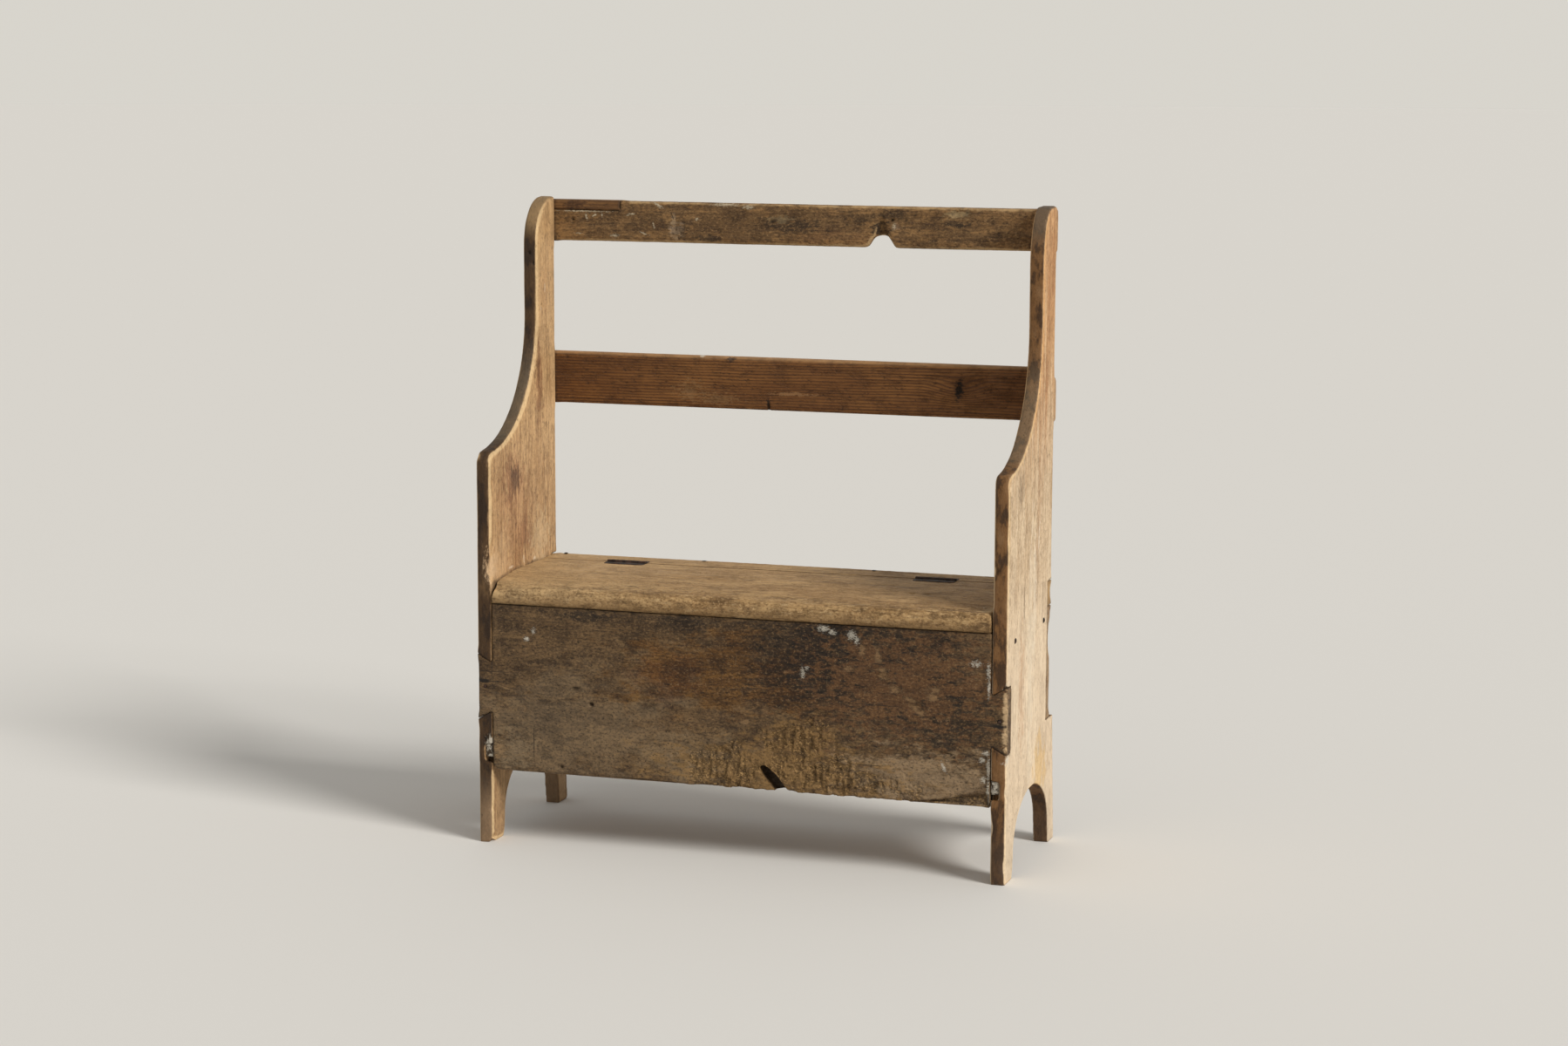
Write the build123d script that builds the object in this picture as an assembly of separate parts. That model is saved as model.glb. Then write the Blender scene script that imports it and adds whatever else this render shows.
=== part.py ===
from build123d import *
import os

# A box bench of old pine: two shaped end boards, a dovetailed box under the seat, a hinged lid and two
# back rails. Millimetres, +Z up, -Y to the front. The origin is on the floor, in the middle of the bench's
# width and depth.

# Overall sizes
BENCH_WIDTH = 900.0  # over the outer faces of the end boards
BENCH_HEIGHT = 1058.0  # floor to the crown of the end boards
FOOT_DEPTH = 338.0  # front edge of an end board to the back of its rear foot, at the floor
ARM_HEIGHT = 654.0
SEAT_HEIGHT = 446.0

# End boards
END_THICKNESS = 26.0
BACK_LINE = 292.0  # front edge to the straight back edge of the stile
STILE_WIDTH = 82.0
COVE_DROP = 192.0  # crown of the board to the start of the cove that sweeps into the arm
ARM_NOSE = 16.0  # radius at the front of the arm
LEFT_CROWN_RISE = 76.0
LEFT_CROWN_FLAT = 8.0  # straight part of the top, behind the rounded crown
RIGHT_CROWN_RISE = 92.0
RIGHT_CROWN_FLAT = 28.0
ARRIS = 4.0  # worn rounding along the front edge, arm, cove and crown

# Feet
FRONT_TOE = 54.0  # width of the front foot at the floor
REAR_TOE = 42.0
FOOT_TAPER = 5.0  # how much wider each foot is where the arch springs
ARCH_SPRING = 36.0
ARCH_HEIGHT = 122.0
SHOULDER_HEIGHT = 214.0  # seat of the back panel on the rear foot
SHOULDER_STEP = 26.0  # rear foot behind the stile's back edge, at the shoulder

# Front panel, with one dovetail tail at each end
FRONT_THICKNESS = 26.0
FRONT_BOTTOM = 124.0
TAIL_ROOT = 81.0  # height of the tail at the end board's inner face
TAIL_TIP = 110.0  # and at the outer face
SHOULDER_GAP = 0.6
TAIL_FIT = 0.2
CORNER_WEAR = 15.0  # rounding of the panel's lower left corner
GOUGE_PLACE = 64.0  # middle of the slanting hollow rotted into the panel's lower edge
GOUGE_RISE = 18.0
GOUGE_LENGTH = 62.0
GOUGE_WIDTH = 18.0
GOUGE_SKIN = 7.0  # wood left behind the hollow
GOUGE_SLANT = 46.0  # degrees, down to the right

# Back panel and bottom board
BACK_THICKNESS = 30.0
BACK_PROUD = 4.0  # behind the stile's back edge
BACK_BOTTOM = 130.0  # lower edge of the back panel between the feet
BOTTOM_THICKNESS = 22.0
BOTTOM_HEIGHT = 145.0  # floor to the underside of the bottom board
DADO_DEPTH = 14.0
MOUTH_DROP = 8.0  # broken-out mouth under the dado's front end
MOUTH_DEPTH = 12.0
BOARD_FIT = 0.3

# Seat
SEAT_THICKNESS = 42.0
SEAT_OVERHANG = 4.0  # nose of the lid in front of the end boards
STRIP_WIDTH = 64.0  # hinge line to the stile's back edge
LID_SIDE_GAP = 1.8
LID_REST_GAP = 0.3
JOINT_GAP = 2.0  # between the lid and the strip
NOSE_WEAR = 12.0  # how far the lid has worn down at its front
NOSE_RUN = 130.0  # length of the worn slope
NOSE_TOP_RADIUS = 10.0
NOSE_UNDER_RADIUS = 6.0
CLEAT_WIDTH = 22.0
CLEAT_HEIGHT = 36.0

# Back rails
TOP_RAIL_DROP = 5.0  # below the crown
TOP_RAIL_HEIGHT = 71.0
TOP_RAIL_THICKNESS = 18.0
MID_RAIL_CLEARANCE = 259.5  # seat to the mid rail's lower edge
MID_RAIL_HEIGHT = 89.0
MID_RAIL_THICKNESS = 21.0
RAIL_ARRIS = 4.0
SNIPE_LENGTH = 14.0  # corner cut off the mid rail's right end
SNIPE_DROP = 20.0
NOTCH_PLACE = 154.0  # middle of the notch in the top rail's lower edge
NOTCH_MOUTH = 46.0
NOTCH_TOP = 24.0
NOTCH_RISE = 19.0
NOTCH_RADIUS = 6.0
VALLEY_RADIUS = 11.0  # worn valley that runs up from the notch on the rail's front face
VALLEY_RISE = 38.0
PATCH_LENGTH = 144.0
PATCH_HEIGHT = 17.0
PATCH_DEPTH = 9.0

# Hinges
HINGE_INSET = 153.0  # inner face of an end board to the middle of a hinge
HINGE_LENGTH = 70.0
LEAF_WIDTH = 20.0
LEAF_THICKNESS = 2.0
KNUCKLE_RADIUS = 3.2
KNUCKLE_GAP = 0.5
LID_KNUCKLE = 24.0  # length of the lid leaf's knuckle, between the two of the strip leaf
PIN_RADIUS = 1.6
PIN_CLEARANCE = 0.05
HINGE_CLEARANCE = 0.4  # round the knuckles and the ends of the leaves
LEAF_CORNER = 3.0

# Nails
NAIL_SHANK = 4.5
NAIL_POINT = 1.6
NAIL_HEAD = 9.0
NAIL_CROWN = 3.0
NAIL_RISE = 2.0
LONG_NAIL = 58.0
STRIP_NAIL = 62.0
CLEAT_NAIL = 42.0
NAIL_MARGIN = 22.0  # nails to the edges of the board they hold
PANEL_NAIL_SINK = 3.0  # front panel nails stand below the surface
STRIP_NAIL_PLACE = 150.0
CLEAT_NAIL_INSET = 24.0
LEAF_NAIL_LENGTH = 22.0
LEAF_NAIL_SHANK = 2.4
LEAF_NAIL_POINT = 0.8
LEAF_NAIL_HEAD = 5.4
LEAF_NAIL_SPACING = 23.0

# Places that several pieces share
FRONT = SEAT_OVERHANG - (FOOT_DEPTH + SEAT_OVERHANG) / 2  # front edges of the end boards
OUTER = BENCH_WIDTH / 2
INNER = OUTER - END_THICKNESS
BACK = FRONT + BACK_LINE
PANEL_BACK = BACK + BACK_PROUD
PANEL_FRONT = PANEL_BACK - BACK_THICKNESS
SEAT_UNDER = SEAT_HEIGHT - SEAT_THICKNESS
REST_HEIGHT = SEAT_UNDER - LID_REST_GAP
HINGE_LINE = BACK - STRIP_WIDTH
HINGE_PLACE = INNER - HINGE_INSET
TAIL_HEIGHT = (FRONT_BOTTOM + REST_HEIGHT) / 2
END_MIDDLE = OUTER - END_THICKNESS / 2
TOP_RAIL_TOP = BENCH_HEIGHT - TOP_RAIL_DROP
TOP_RAIL_BOTTOM = TOP_RAIL_TOP - TOP_RAIL_HEIGHT
MID_RAIL_BOTTOM = SEAT_HEIGHT + MID_RAIL_CLEARANCE
MID_RAIL_TOP = MID_RAIL_BOTTOM + MID_RAIL_HEIGHT
SIDES = {"left": -1, "right": 1}


def block(x, y, z):
    """A box from three (low, high) pairs."""
    size = [high - low for low, high in (x, y, z)]
    middle = [(high + low) / 2 for low, high in (x, y, z)]
    return Pos(*middle) * Box(*size)


def across(side, low, high):
    """The (low, high) pair in X of a piece that lies from low to high out from the middle, on one side."""
    return tuple(sorted((side * low, side * high)))


def end_outline(crown_rise, crown_flat):
    """Side view of an end board: feet, arm, cove, stile and crown, and the notch in the back edge."""
    stile = BACK - STILE_WIDTH
    cove_top = BENCH_HEIGHT - COVE_DROP
    crown_start = BENCH_HEIGHT - crown_rise
    crown_end = BACK - crown_flat
    rear = FRONT + FOOT_DEPTH
    toe = FRONT + FRONT_TOE
    heel = rear - REAR_TOE
    arch_low, arch_high = toe + FOOT_TAPER, heel - FOOT_TAPER
    arch_middle = (arch_low + arch_high) / 2
    arch_half = (arch_high - arch_low) / 2
    arch_rise = ARCH_HEIGHT - ARCH_SPRING
    edges = [
        Line((FRONT, 0), (FRONT, ARM_HEIGHT)),
        TangentArc((stile, cove_top), (FRONT, ARM_HEIGHT), tangent=(0, -1)),
        Line((stile, cove_top), (stile, crown_start)),
        EllipticalCenterArc((crown_end, crown_start), crown_end - stile, crown_rise, 90, arc_size=90),
        Polyline(
            (crown_end, BENCH_HEIGHT),
            (BACK, BENCH_HEIGHT),
            (BACK, SEAT_HEIGHT),
            (PANEL_FRONT, SEAT_HEIGHT),
            (PANEL_FRONT, SHOULDER_HEIGHT),
            (BACK + SHOULDER_STEP, SHOULDER_HEIGHT),
            (rear, 0),
            (heel, 0),
            (arch_high, ARCH_SPRING),
        ),
        EllipticalCenterArc((arch_middle, ARCH_SPRING), arch_half, arch_rise, 0, arc_size=180),
        Polyline((arch_low, ARCH_SPRING), (toe, 0), (FRONT, 0)),
    ]
    outline = make_face(edges)
    nose = outline.vertices().sort_by_distance((FRONT, ARM_HEIGHT))[0]
    return fillet(nose, ARM_NOSE)


def front_run(board):
    """The long edges that hands and clothes have worn: front edge, arm, cove, stile and crown."""
    run = []
    for edge in board.edges():
        middle = edge @ 0.5
        along_x = abs((edge % 0.5).X) > 0.5
        on_front = abs(middle.Y - FRONT) < ARRIS
        above_arm = ARM_HEIGHT - ARM_NOSE < middle.Z < BENCH_HEIGHT - ARRIS
        on_sweep = above_arm and middle.Y < BACK - ARRIS
        if not along_x and (on_front or on_sweep):
            run.append(edge)
    return run


def tail(side, start, end, grow):
    """A dovetail tail in front view, from start to end out from the inner face as shares of the board."""
    points = []
    for share, sign in ((start, -1), (end, -1), (end, 1), (start, 1)):
        half = (TAIL_ROOT + (TAIL_TIP - TAIL_ROOT) * share) / 2 + grow
        points.append((side * (INNER + share * END_THICKNESS), TAIL_HEIGHT + sign * half))
    return make_face(Polyline(*points, close=True))


def standing(face, front, thickness):
    """A face drawn in front view, made a board from the given front plane back."""
    return Pos(0, front + thickness, 0) * extrude(Plane.XZ * face, thickness)


def end_board(side, crown_rise, crown_flat):
    low = min(side * INNER, side * OUTER)
    board = Pos(low, 0, 0) * extrude(Plane.YZ * end_outline(crown_rise, crown_flat), END_THICKNESS)
    board = fillet(front_run(board), ARRIS)
    socket_depth = FRONT_THICKNESS + TAIL_FIT
    board -= standing(tail(side, -0.1, 1.1, TAIL_FIT), FRONT - ARRIS, socket_depth + ARRIS)
    dado = across(side, INNER - ARRIS, INNER + DADO_DEPTH)
    dado_top = BOTTOM_HEIGHT + BOTTOM_THICKNESS + BOARD_FIT
    mouth = (BOTTOM_HEIGHT - MOUTH_DROP, BOTTOM_HEIGHT)
    board -= block(dado, (FRONT - ARRIS, PANEL_FRONT), (BOTTOM_HEIGHT, dado_top))
    board -= block(dado, (FRONT - ARRIS, FRONT + MOUTH_DEPTH), mouth)
    return board


def front_panel():
    half = INNER - SHOULDER_GAP
    height = REST_HEIGHT - FRONT_BOTTOM
    face = Pos(0, FRONT_BOTTOM + height / 2) * Rectangle(2 * half, height)
    corner = face.vertices().sort_by_distance((-half, FRONT_BOTTOM))[0]
    face = fillet(corner, CORNER_WEAR)
    for side in SIDES.values():
        face += tail(side, -0.5, 1, 0)
    panel = standing(face, FRONT, FRONT_THICKNESS)
    gouge = Rot(0, 0, -GOUGE_SLANT) * Ellipse(GOUGE_LENGTH / 2, GOUGE_WIDTH / 2)
    gouge = Pos(GOUGE_PLACE, FRONT_BOTTOM + GOUGE_RISE) * gouge
    panel -= standing(gouge, FRONT, FRONT_THICKNESS - GOUGE_SKIN)
    tips = panel.edges().group_by(Axis.Y)[0]
    tips = [edge for edge in tips if abs((edge @ 0.5).X) > OUTER - TAIL_FIT]
    return fillet(tips, ARRIS)


def bottom_board():
    """The box's floor: tongues in the dados, with a horn beside each end of the front panel."""
    height = (BOTTOM_HEIGHT, BOTTOM_HEIGHT + BOTTOM_THICKNESS)
    reach = INNER + DADO_DEPTH - BOARD_FIT
    inside = (FRONT + FRONT_THICKNESS + BOARD_FIT, PANEL_FRONT - BOARD_FIT)
    board = block((-reach, reach), inside, height)
    for side in SIDES.values():
        board += block(across(side, INNER + BOARD_FIT, reach), (FRONT + ARRIS / 2, inside[1]), height)
    return board


def back_panel():
    """The back of the box: its ends lie in the notches, and its lower part drops between the rear feet."""
    depth = (PANEL_FRONT, PANEL_BACK)
    half = INNER - BOARD_FIT
    panel = block((-OUTER, OUTER), depth, (SHOULDER_HEIGHT, SEAT_UNDER))
    return panel + block((-half, half), depth, (BACK_BOTTOM, SEAT_UNDER))


def hinge_recess(side, leaf):
    """What a hinge takes out of the seat: a bed for one leaf, and the groove of the knuckles."""
    half = HINGE_LENGTH / 2 + HINGE_CLEARANCE
    length = (side * HINGE_PLACE - half, side * HINGE_PLACE + half)
    far = HINGE_LINE + leaf * (LEAF_WIDTH + HINGE_CLEARANCE)
    height = (SEAT_HEIGHT - LEAF_THICKNESS, SEAT_HEIGHT + KNUCKLE_RADIUS)
    bed = block(length, sorted((HINGE_LINE, far)), height)
    return bed + knuckle(side, 0, 2 * half, KNUCKLE_RADIUS + HINGE_CLEARANCE)


def knuckle(side, place, length, radius):
    """A round bar on a hinge's axis, at a place along the hinge."""
    bar = Rot(0, 90, 0) * Cylinder(radius, length)
    return Pos(side * HINGE_PLACE + place, HINGE_LINE, SEAT_HEIGHT) * bar


def seat_lid():
    """The hinged part of the seat, its top sloping down in a worn curve to a rounded nose."""
    front, back = FRONT - SEAT_OVERHANG, HINGE_LINE - JOINT_GAP / 2
    nose = (front, SEAT_HEIGHT - NOSE_WEAR)
    crest = (front + NOSE_RUN, SEAT_HEIGHT)
    edges = [
        TangentArc(crest, nose, tangent=(-1, 0)),
        Polyline(nose, (front, SEAT_UNDER), (back, SEAT_UNDER), (back, SEAT_HEIGHT), crest),
    ]
    outline = make_face(edges)
    for height, radius in ((SEAT_HEIGHT - NOSE_WEAR, NOSE_TOP_RADIUS), (SEAT_UNDER, NOSE_UNDER_RADIUS)):
        corner = outline.vertices().sort_by_distance((front, height))[0]
        outline = fillet(corner, radius)
    half = INNER - LID_SIDE_GAP
    lid = Pos(-half, 0, 0) * extrude(Plane.YZ * outline, 2 * half)
    return lid - [hinge_recess(side, -1) for side in SIDES.values()]


def seat_back_strip():
    """The fixed part of the seat, between the end boards: its ears fill the tops of the notches."""
    height = (SEAT_UNDER, SEAT_HEIGHT)
    half = INNER - BOARD_FIT
    strip = block((-half, half), (HINGE_LINE + JOINT_GAP / 2, BACK), height)
    strip += block((-OUTER, OUTER), (PANEL_FRONT + BOARD_FIT, BACK), height)
    return strip - [hinge_recess(side, 1) for side in SIDES.values()]


def seat_cleat(side):
    width = across(side, INNER - CLEAT_WIDTH, INNER)
    depth = (FRONT + FRONT_THICKNESS + BOARD_FIT, PANEL_FRONT - BOARD_FIT)
    return block(width, depth, (REST_HEIGHT - CLEAT_HEIGHT, REST_HEIGHT))


def rail(face, thickness):
    """A back rail lying on the end boards' back edges, with its upper edges worn round."""
    board = standing(face, BACK, thickness)
    upper = board.edges().filter_by(Axis.X).group_by(Axis.Z)[-1]
    return fillet(upper, RAIL_ARRIS)


def top_rail_blank():
    face = Pos(0, TOP_RAIL_BOTTOM + TOP_RAIL_HEIGHT / 2) * Rectangle(BENCH_WIDTH, TOP_RAIL_HEIGHT)
    notch = make_face(
        Polyline(
            (NOTCH_PLACE - NOTCH_MOUTH / 2, TOP_RAIL_BOTTOM),
            (NOTCH_PLACE - NOTCH_TOP / 2, TOP_RAIL_BOTTOM + NOTCH_RISE),
            (NOTCH_PLACE + NOTCH_TOP / 2, TOP_RAIL_BOTTOM + NOTCH_RISE),
            (NOTCH_PLACE + NOTCH_MOUTH / 2, TOP_RAIL_BOTTOM),
            close=True,
        )
    )
    notch = fillet(notch.vertices().group_by(Axis.Y)[-1], NOTCH_RADIUS)
    board = rail(face - notch, TOP_RAIL_THICKNESS)
    valley_middle = TOP_RAIL_BOTTOM + NOTCH_RISE - NOTCH_RADIUS + VALLEY_RISE / 2
    valley = Pos(NOTCH_PLACE, BACK, valley_middle) * Cone(VALLEY_RADIUS, VALLEY_RADIUS / 8, VALLEY_RISE)
    return board - valley


def patch_bed():
    """The rebate in the top rail's upper left edge that holds the let-in strip."""
    length = (-OUTER - PATCH_DEPTH, -OUTER + PATCH_LENGTH)
    height = (TOP_RAIL_TOP - PATCH_HEIGHT, TOP_RAIL_TOP + PATCH_HEIGHT)
    return block(length, (BACK - PATCH_DEPTH, BACK + PATCH_DEPTH), height)


def mid_rail():
    face = make_face(
        Polyline(
            (-OUTER, MID_RAIL_BOTTOM),
            (OUTER, MID_RAIL_BOTTOM),
            (OUTER, MID_RAIL_TOP - SNIPE_DROP),
            (OUTER - SNIPE_LENGTH, MID_RAIL_TOP),
            (-OUTER, MID_RAIL_TOP),
            close=True,
        )
    )
    return rail(face, MID_RAIL_THICKNESS)


def hinge_leaf(side, leaf):
    """One leaf of a butt hinge: the strip leaf (1) has two end knuckles, the lid leaf (-1) a middle one."""
    reach = KNUCKLE_RADIUS + HINGE_CLEARANCE
    end_knuckle = (HINGE_LENGTH - LID_KNUCKLE) / 2 - KNUCKLE_GAP
    end_place = (LID_KNUCKLE + end_knuckle) / 2 + KNUCKLE_GAP
    knuckles = [(0, LID_KNUCKLE)] if leaf < 0 else [(-end_place, end_knuckle), (end_place, end_knuckle)]
    plate_middle = Pos(side * HINGE_PLACE, HINGE_LINE + leaf * (reach + LEAF_WIDTH) / 2)
    plate_face = plate_middle * Rectangle(HINGE_LENGTH, LEAF_WIDTH - reach)
    far_corners = plate_face.vertices().group_by(Axis.Y)[-1 if leaf > 0 else 0]
    plate_face = fillet(far_corners, LEAF_CORNER)
    height = (SEAT_HEIGHT - LEAF_THICKNESS, SEAT_HEIGHT)
    plate = extrude(Pos(0, 0, height[0]) * plate_face, LEAF_THICKNESS)
    for place, length in knuckles:
        middle = side * HINGE_PLACE + place
        span = (middle - length / 2, middle + length / 2)
        plate += block(span, sorted((HINGE_LINE, HINGE_LINE + leaf * reach)), height)
        plate += knuckle(side, place, length, KNUCKLE_RADIUS)
    return plate - knuckle(side, 0, HINGE_LENGTH * 2, PIN_RADIUS + PIN_CLEARANCE)


def square_taper(wide, narrow, length, top):
    """A square bar that narrows downwards from its top."""
    near, far = (wide - narrow) / 2, (wide + narrow) / 2
    return Pos(0, 0, top - length / 2) * Rot(-90, 0, 0) * Wedge(wide, length, wide, near, near, far, far)


def wrought_nail(length):
    """A hand-made nail, point down: square tapered shank under a low faceted head, seated at the origin."""
    head = Rot(180, 0, 0) * square_taper(NAIL_HEAD, NAIL_CROWN, NAIL_RISE, 0)
    return head + square_taper(NAIL_SHANK, NAIL_POINT, length, 0)


def leaf_nail():
    """A small square nail for a hinge leaf, its sunk head flush with the leaf's face at the origin."""
    head = square_taper(LEAF_NAIL_HEAD, LEAF_NAIL_SHANK, LEAF_THICKNESS, 0)
    return head + square_taper(LEAF_NAIL_SHANK, LEAF_NAIL_POINT, LEAF_NAIL_LENGTH, -LEAF_THICKNESS)


def driven(nail, places, outward):
    """Copies of a nail driven in at each place, with the heads facing outward."""
    sideways = (outward[1], outward[2], outward[0])
    return [Plane(origin=place, x_dir=sideways, z_dir=outward) * nail for place in places]


def spread(low, high, count):
    """Evenly spaced places between two edges, a nail's margin in from each."""
    step = (high - low - 2 * NAIL_MARGIN) / (count - 1)
    return [low + NAIL_MARGIN + step * i for i in range(count)]


def end_rows(heights, y):
    """Nail places in the middle of both end boards, at each height."""
    return [(side * END_MIDDLE, y, z) for side in SIDES.values() for z in heights]


parts = {
    "left_end_board": end_board(-1, LEFT_CROWN_RISE, LEFT_CROWN_FLAT),
    "right_end_board": end_board(1, RIGHT_CROWN_RISE, RIGHT_CROWN_FLAT),
    "front_panel": front_panel(),
    "back_panel": back_panel(),
    "bottom_board": bottom_board(),
    "seat_lid": seat_lid(),
    "seat_back_strip": seat_back_strip(),
    "top_rail": top_rail_blank() - patch_bed(),
    "top_rail_patch": top_rail_blank() & patch_bed(),
    "mid_rail": mid_rail(),
}
for name, side in SIDES.items():
    parts[f"{name}_seat_cleat"] = seat_cleat(side)
    parts[f"{name}_hinge_lid_leaf"] = hinge_leaf(side, -1)
    parts[f"{name}_hinge_strip_leaf"] = hinge_leaf(side, 1)
    parts[f"{name}_hinge_pin"] = knuckle(side, 0, HINGE_LENGTH, PIN_RADIUS)

# Nails, and the boards that each group is driven into
both_ends = ["left_end_board", "right_end_board"]
long_nail = wrought_nail(LONG_NAIL)
strip_nail_y = (PANEL_FRONT + BACK) / 2
strip_nail_steps = (STRIP_NAIL_PLACE, INNER - NAIL_MARGIN)
strip_nails = [(side * x, strip_nail_y, SEAT_HEIGHT) for side in SIDES.values() for x in strip_nail_steps]
cleat_height = REST_HEIGHT - CLEAT_HEIGHT / 2
cleat_depths = (FRONT + FRONT_THICKNESS + NAIL_MARGIN, PANEL_FRONT - CLEAT_NAIL_INSET)
top_nails = end_rows(spread(TOP_RAIL_BOTTOM, TOP_RAIL_TOP, 2), BACK + TOP_RAIL_THICKNESS)
mid_nails = end_rows(spread(MID_RAIL_BOTTOM, MID_RAIL_TOP, 2), BACK + MID_RAIL_THICKNESS)
back_nails = end_rows(spread(SHOULDER_HEIGHT, SEAT_UNDER, 3), PANEL_BACK)
tail_nails = end_rows([TAIL_HEIGHT], FRONT + PANEL_NAIL_SINK)
nails = {
    "front_panel_nails": driven(long_nail, tail_nails, (0, -1, 0)),
    "back_panel_nails": driven(long_nail, back_nails, (0, 1, 0)),
    "top_rail_nails": driven(long_nail, top_nails, (0, 1, 0)),
    "mid_rail_nails": driven(long_nail, mid_nails, (0, 1, 0)),
    "seat_strip_nails": driven(wrought_nail(STRIP_NAIL), strip_nails, (0, 0, 1)),
    "cleat_nails": [],
    "hinge_lid_nails": [],
    "hinge_strip_nails": [],
}
for side in SIDES.values():
    places = [(side * OUTER, y, cleat_height) for y in cleat_depths]
    nails["cleat_nails"] += driven(wrought_nail(CLEAT_NAIL), places, (side, 0, 0))
    for leaf, group in ((-1, "hinge_lid_nails"), (1, "hinge_strip_nails")):
        y = HINGE_LINE + leaf * (LEAF_WIDTH + KNUCKLE_RADIUS) / 2
        spots = [(side * HINGE_PLACE + step * LEAF_NAIL_SPACING, y, SEAT_HEIGHT) for step in (-1, 0, 1)]
        nails[group] += driven(leaf_nail(), spots, (0, 0, 1))
held = {
    "front_panel_nails": ["front_panel"] + both_ends,
    "back_panel_nails": ["back_panel"] + both_ends,
    "top_rail_nails": ["top_rail"] + both_ends,
    "mid_rail_nails": ["mid_rail"] + both_ends,
    "seat_strip_nails": ["seat_back_strip", "back_panel"],
    "cleat_nails": ["left_seat_cleat", "right_seat_cleat"] + both_ends,
    "hinge_lid_nails": ["seat_lid", "left_hinge_lid_leaf", "right_hinge_lid_leaf"],
    "hinge_strip_nails": ["seat_back_strip", "left_hinge_strip_leaf", "right_hinge_strip_leaf"],
}
for group, boards in held.items():
    for board in boards:
        parts[board] -= nails[group]

# The sunk heads of the front panel's nails stand at the bottom of square pockets
for place in end_rows([TAIL_HEIGHT], FRONT):
    parts["front_panel"] -= Pos(*place) * Box(NAIL_HEAD, 2 * PANEL_NAIL_SINK, NAIL_HEAD)

os.makedirs("parts", exist_ok=True)
for name, solid in parts.items():
    export_step(solid, f"parts/{name}.step")
for name, group in nails.items():
    export_step(Compound(children=group), f"parts/{name}.step")
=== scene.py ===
# %% [markdown]
# # An old pine box bench
# The bench is a country settle of wide pine boards: two shaped end boards carry two back rails and a chest, and the
# seat is the chest's lid. The CAD model gives every board its true size and place. This lesson wears those boards
# down as long use did, and then gives each one the finish that it has on the real bench.

# %% Load the bench as a fixed frame
import itertools
import math

import bmesh
import bpy
import numpy as np
from mathutils import Color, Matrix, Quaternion, Vector
from mathutils.bvhtree import BVHTree


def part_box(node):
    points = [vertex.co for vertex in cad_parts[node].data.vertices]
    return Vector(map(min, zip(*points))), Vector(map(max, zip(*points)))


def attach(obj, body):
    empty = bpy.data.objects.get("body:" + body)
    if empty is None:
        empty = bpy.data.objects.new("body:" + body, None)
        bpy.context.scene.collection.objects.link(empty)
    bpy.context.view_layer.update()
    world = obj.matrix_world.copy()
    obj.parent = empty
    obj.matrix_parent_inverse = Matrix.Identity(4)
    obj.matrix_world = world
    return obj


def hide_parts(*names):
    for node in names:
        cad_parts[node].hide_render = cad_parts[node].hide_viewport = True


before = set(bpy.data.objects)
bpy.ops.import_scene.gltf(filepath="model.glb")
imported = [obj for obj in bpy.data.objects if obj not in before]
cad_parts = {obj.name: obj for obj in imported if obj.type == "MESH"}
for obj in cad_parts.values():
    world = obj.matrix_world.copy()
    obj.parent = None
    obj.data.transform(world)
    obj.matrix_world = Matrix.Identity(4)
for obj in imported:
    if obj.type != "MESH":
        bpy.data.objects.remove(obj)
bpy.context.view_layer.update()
scene = bpy.context.scene
scene.view_settings.view_transform = "Standard"

# %% [markdown]
# ## The camera
# The photograph was taken from a little above the seat and well to the right of the bench, with a long lens. The lens
# and the place come from fitting the bench's known corners to their pixels, so the two pictures can be laid over one
# another. The lens is given as its length in pixels, because that is what such a fit finds.

# %% Stand the camera where the photographer stood
PHOTO_WIDTH = 1799
LENS_IN_PIXELS = 3697
SENSOR = 36.0
CAMERA_PLACE = (1.629, -4.99, 1.325)
CAMERA_TURN = 0.3105
CAMERA_DIP = 0.1494
CAMERA_TILT = 0.0034


def add(name, data):
    """Puts a new object into the scene, at the origin."""
    thing = bpy.data.objects.new(name, data)
    scene.collection.objects.link(thing)
    return thing


lens = bpy.data.cameras.new("photo_camera")
lens.sensor_width = SENSOR
lens.lens = LENS_IN_PIXELS * SENSOR / PHOTO_WIDTH
camera = add("photo_camera", lens)
level = math.cos(CAMERA_DIP)
sight = Vector((-math.sin(CAMERA_TURN) * level, math.cos(CAMERA_TURN) * level, -math.sin(CAMERA_DIP)))
camera.location = CAMERA_PLACE
camera.rotation_mode = "QUATERNION"
camera.rotation_quaternion = sight.to_track_quat("-Z", "Y") @ Quaternion((0, 0, 1), CAMERA_TILT)
scene.camera = camera
print("Lens in millimetres:", round(lens.lens, 2))

# %% [markdown]
# ## Shader sums written as Python
# A material's nodes can be placed by hand in the editor, but a sum of three values already takes two nodes and five
# links. Here a small class stands for one output of a node. Python's own signs on it add the Math nodes, so a mask
# reads like the sum that it is, and one method adds every other kind of node.

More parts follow.
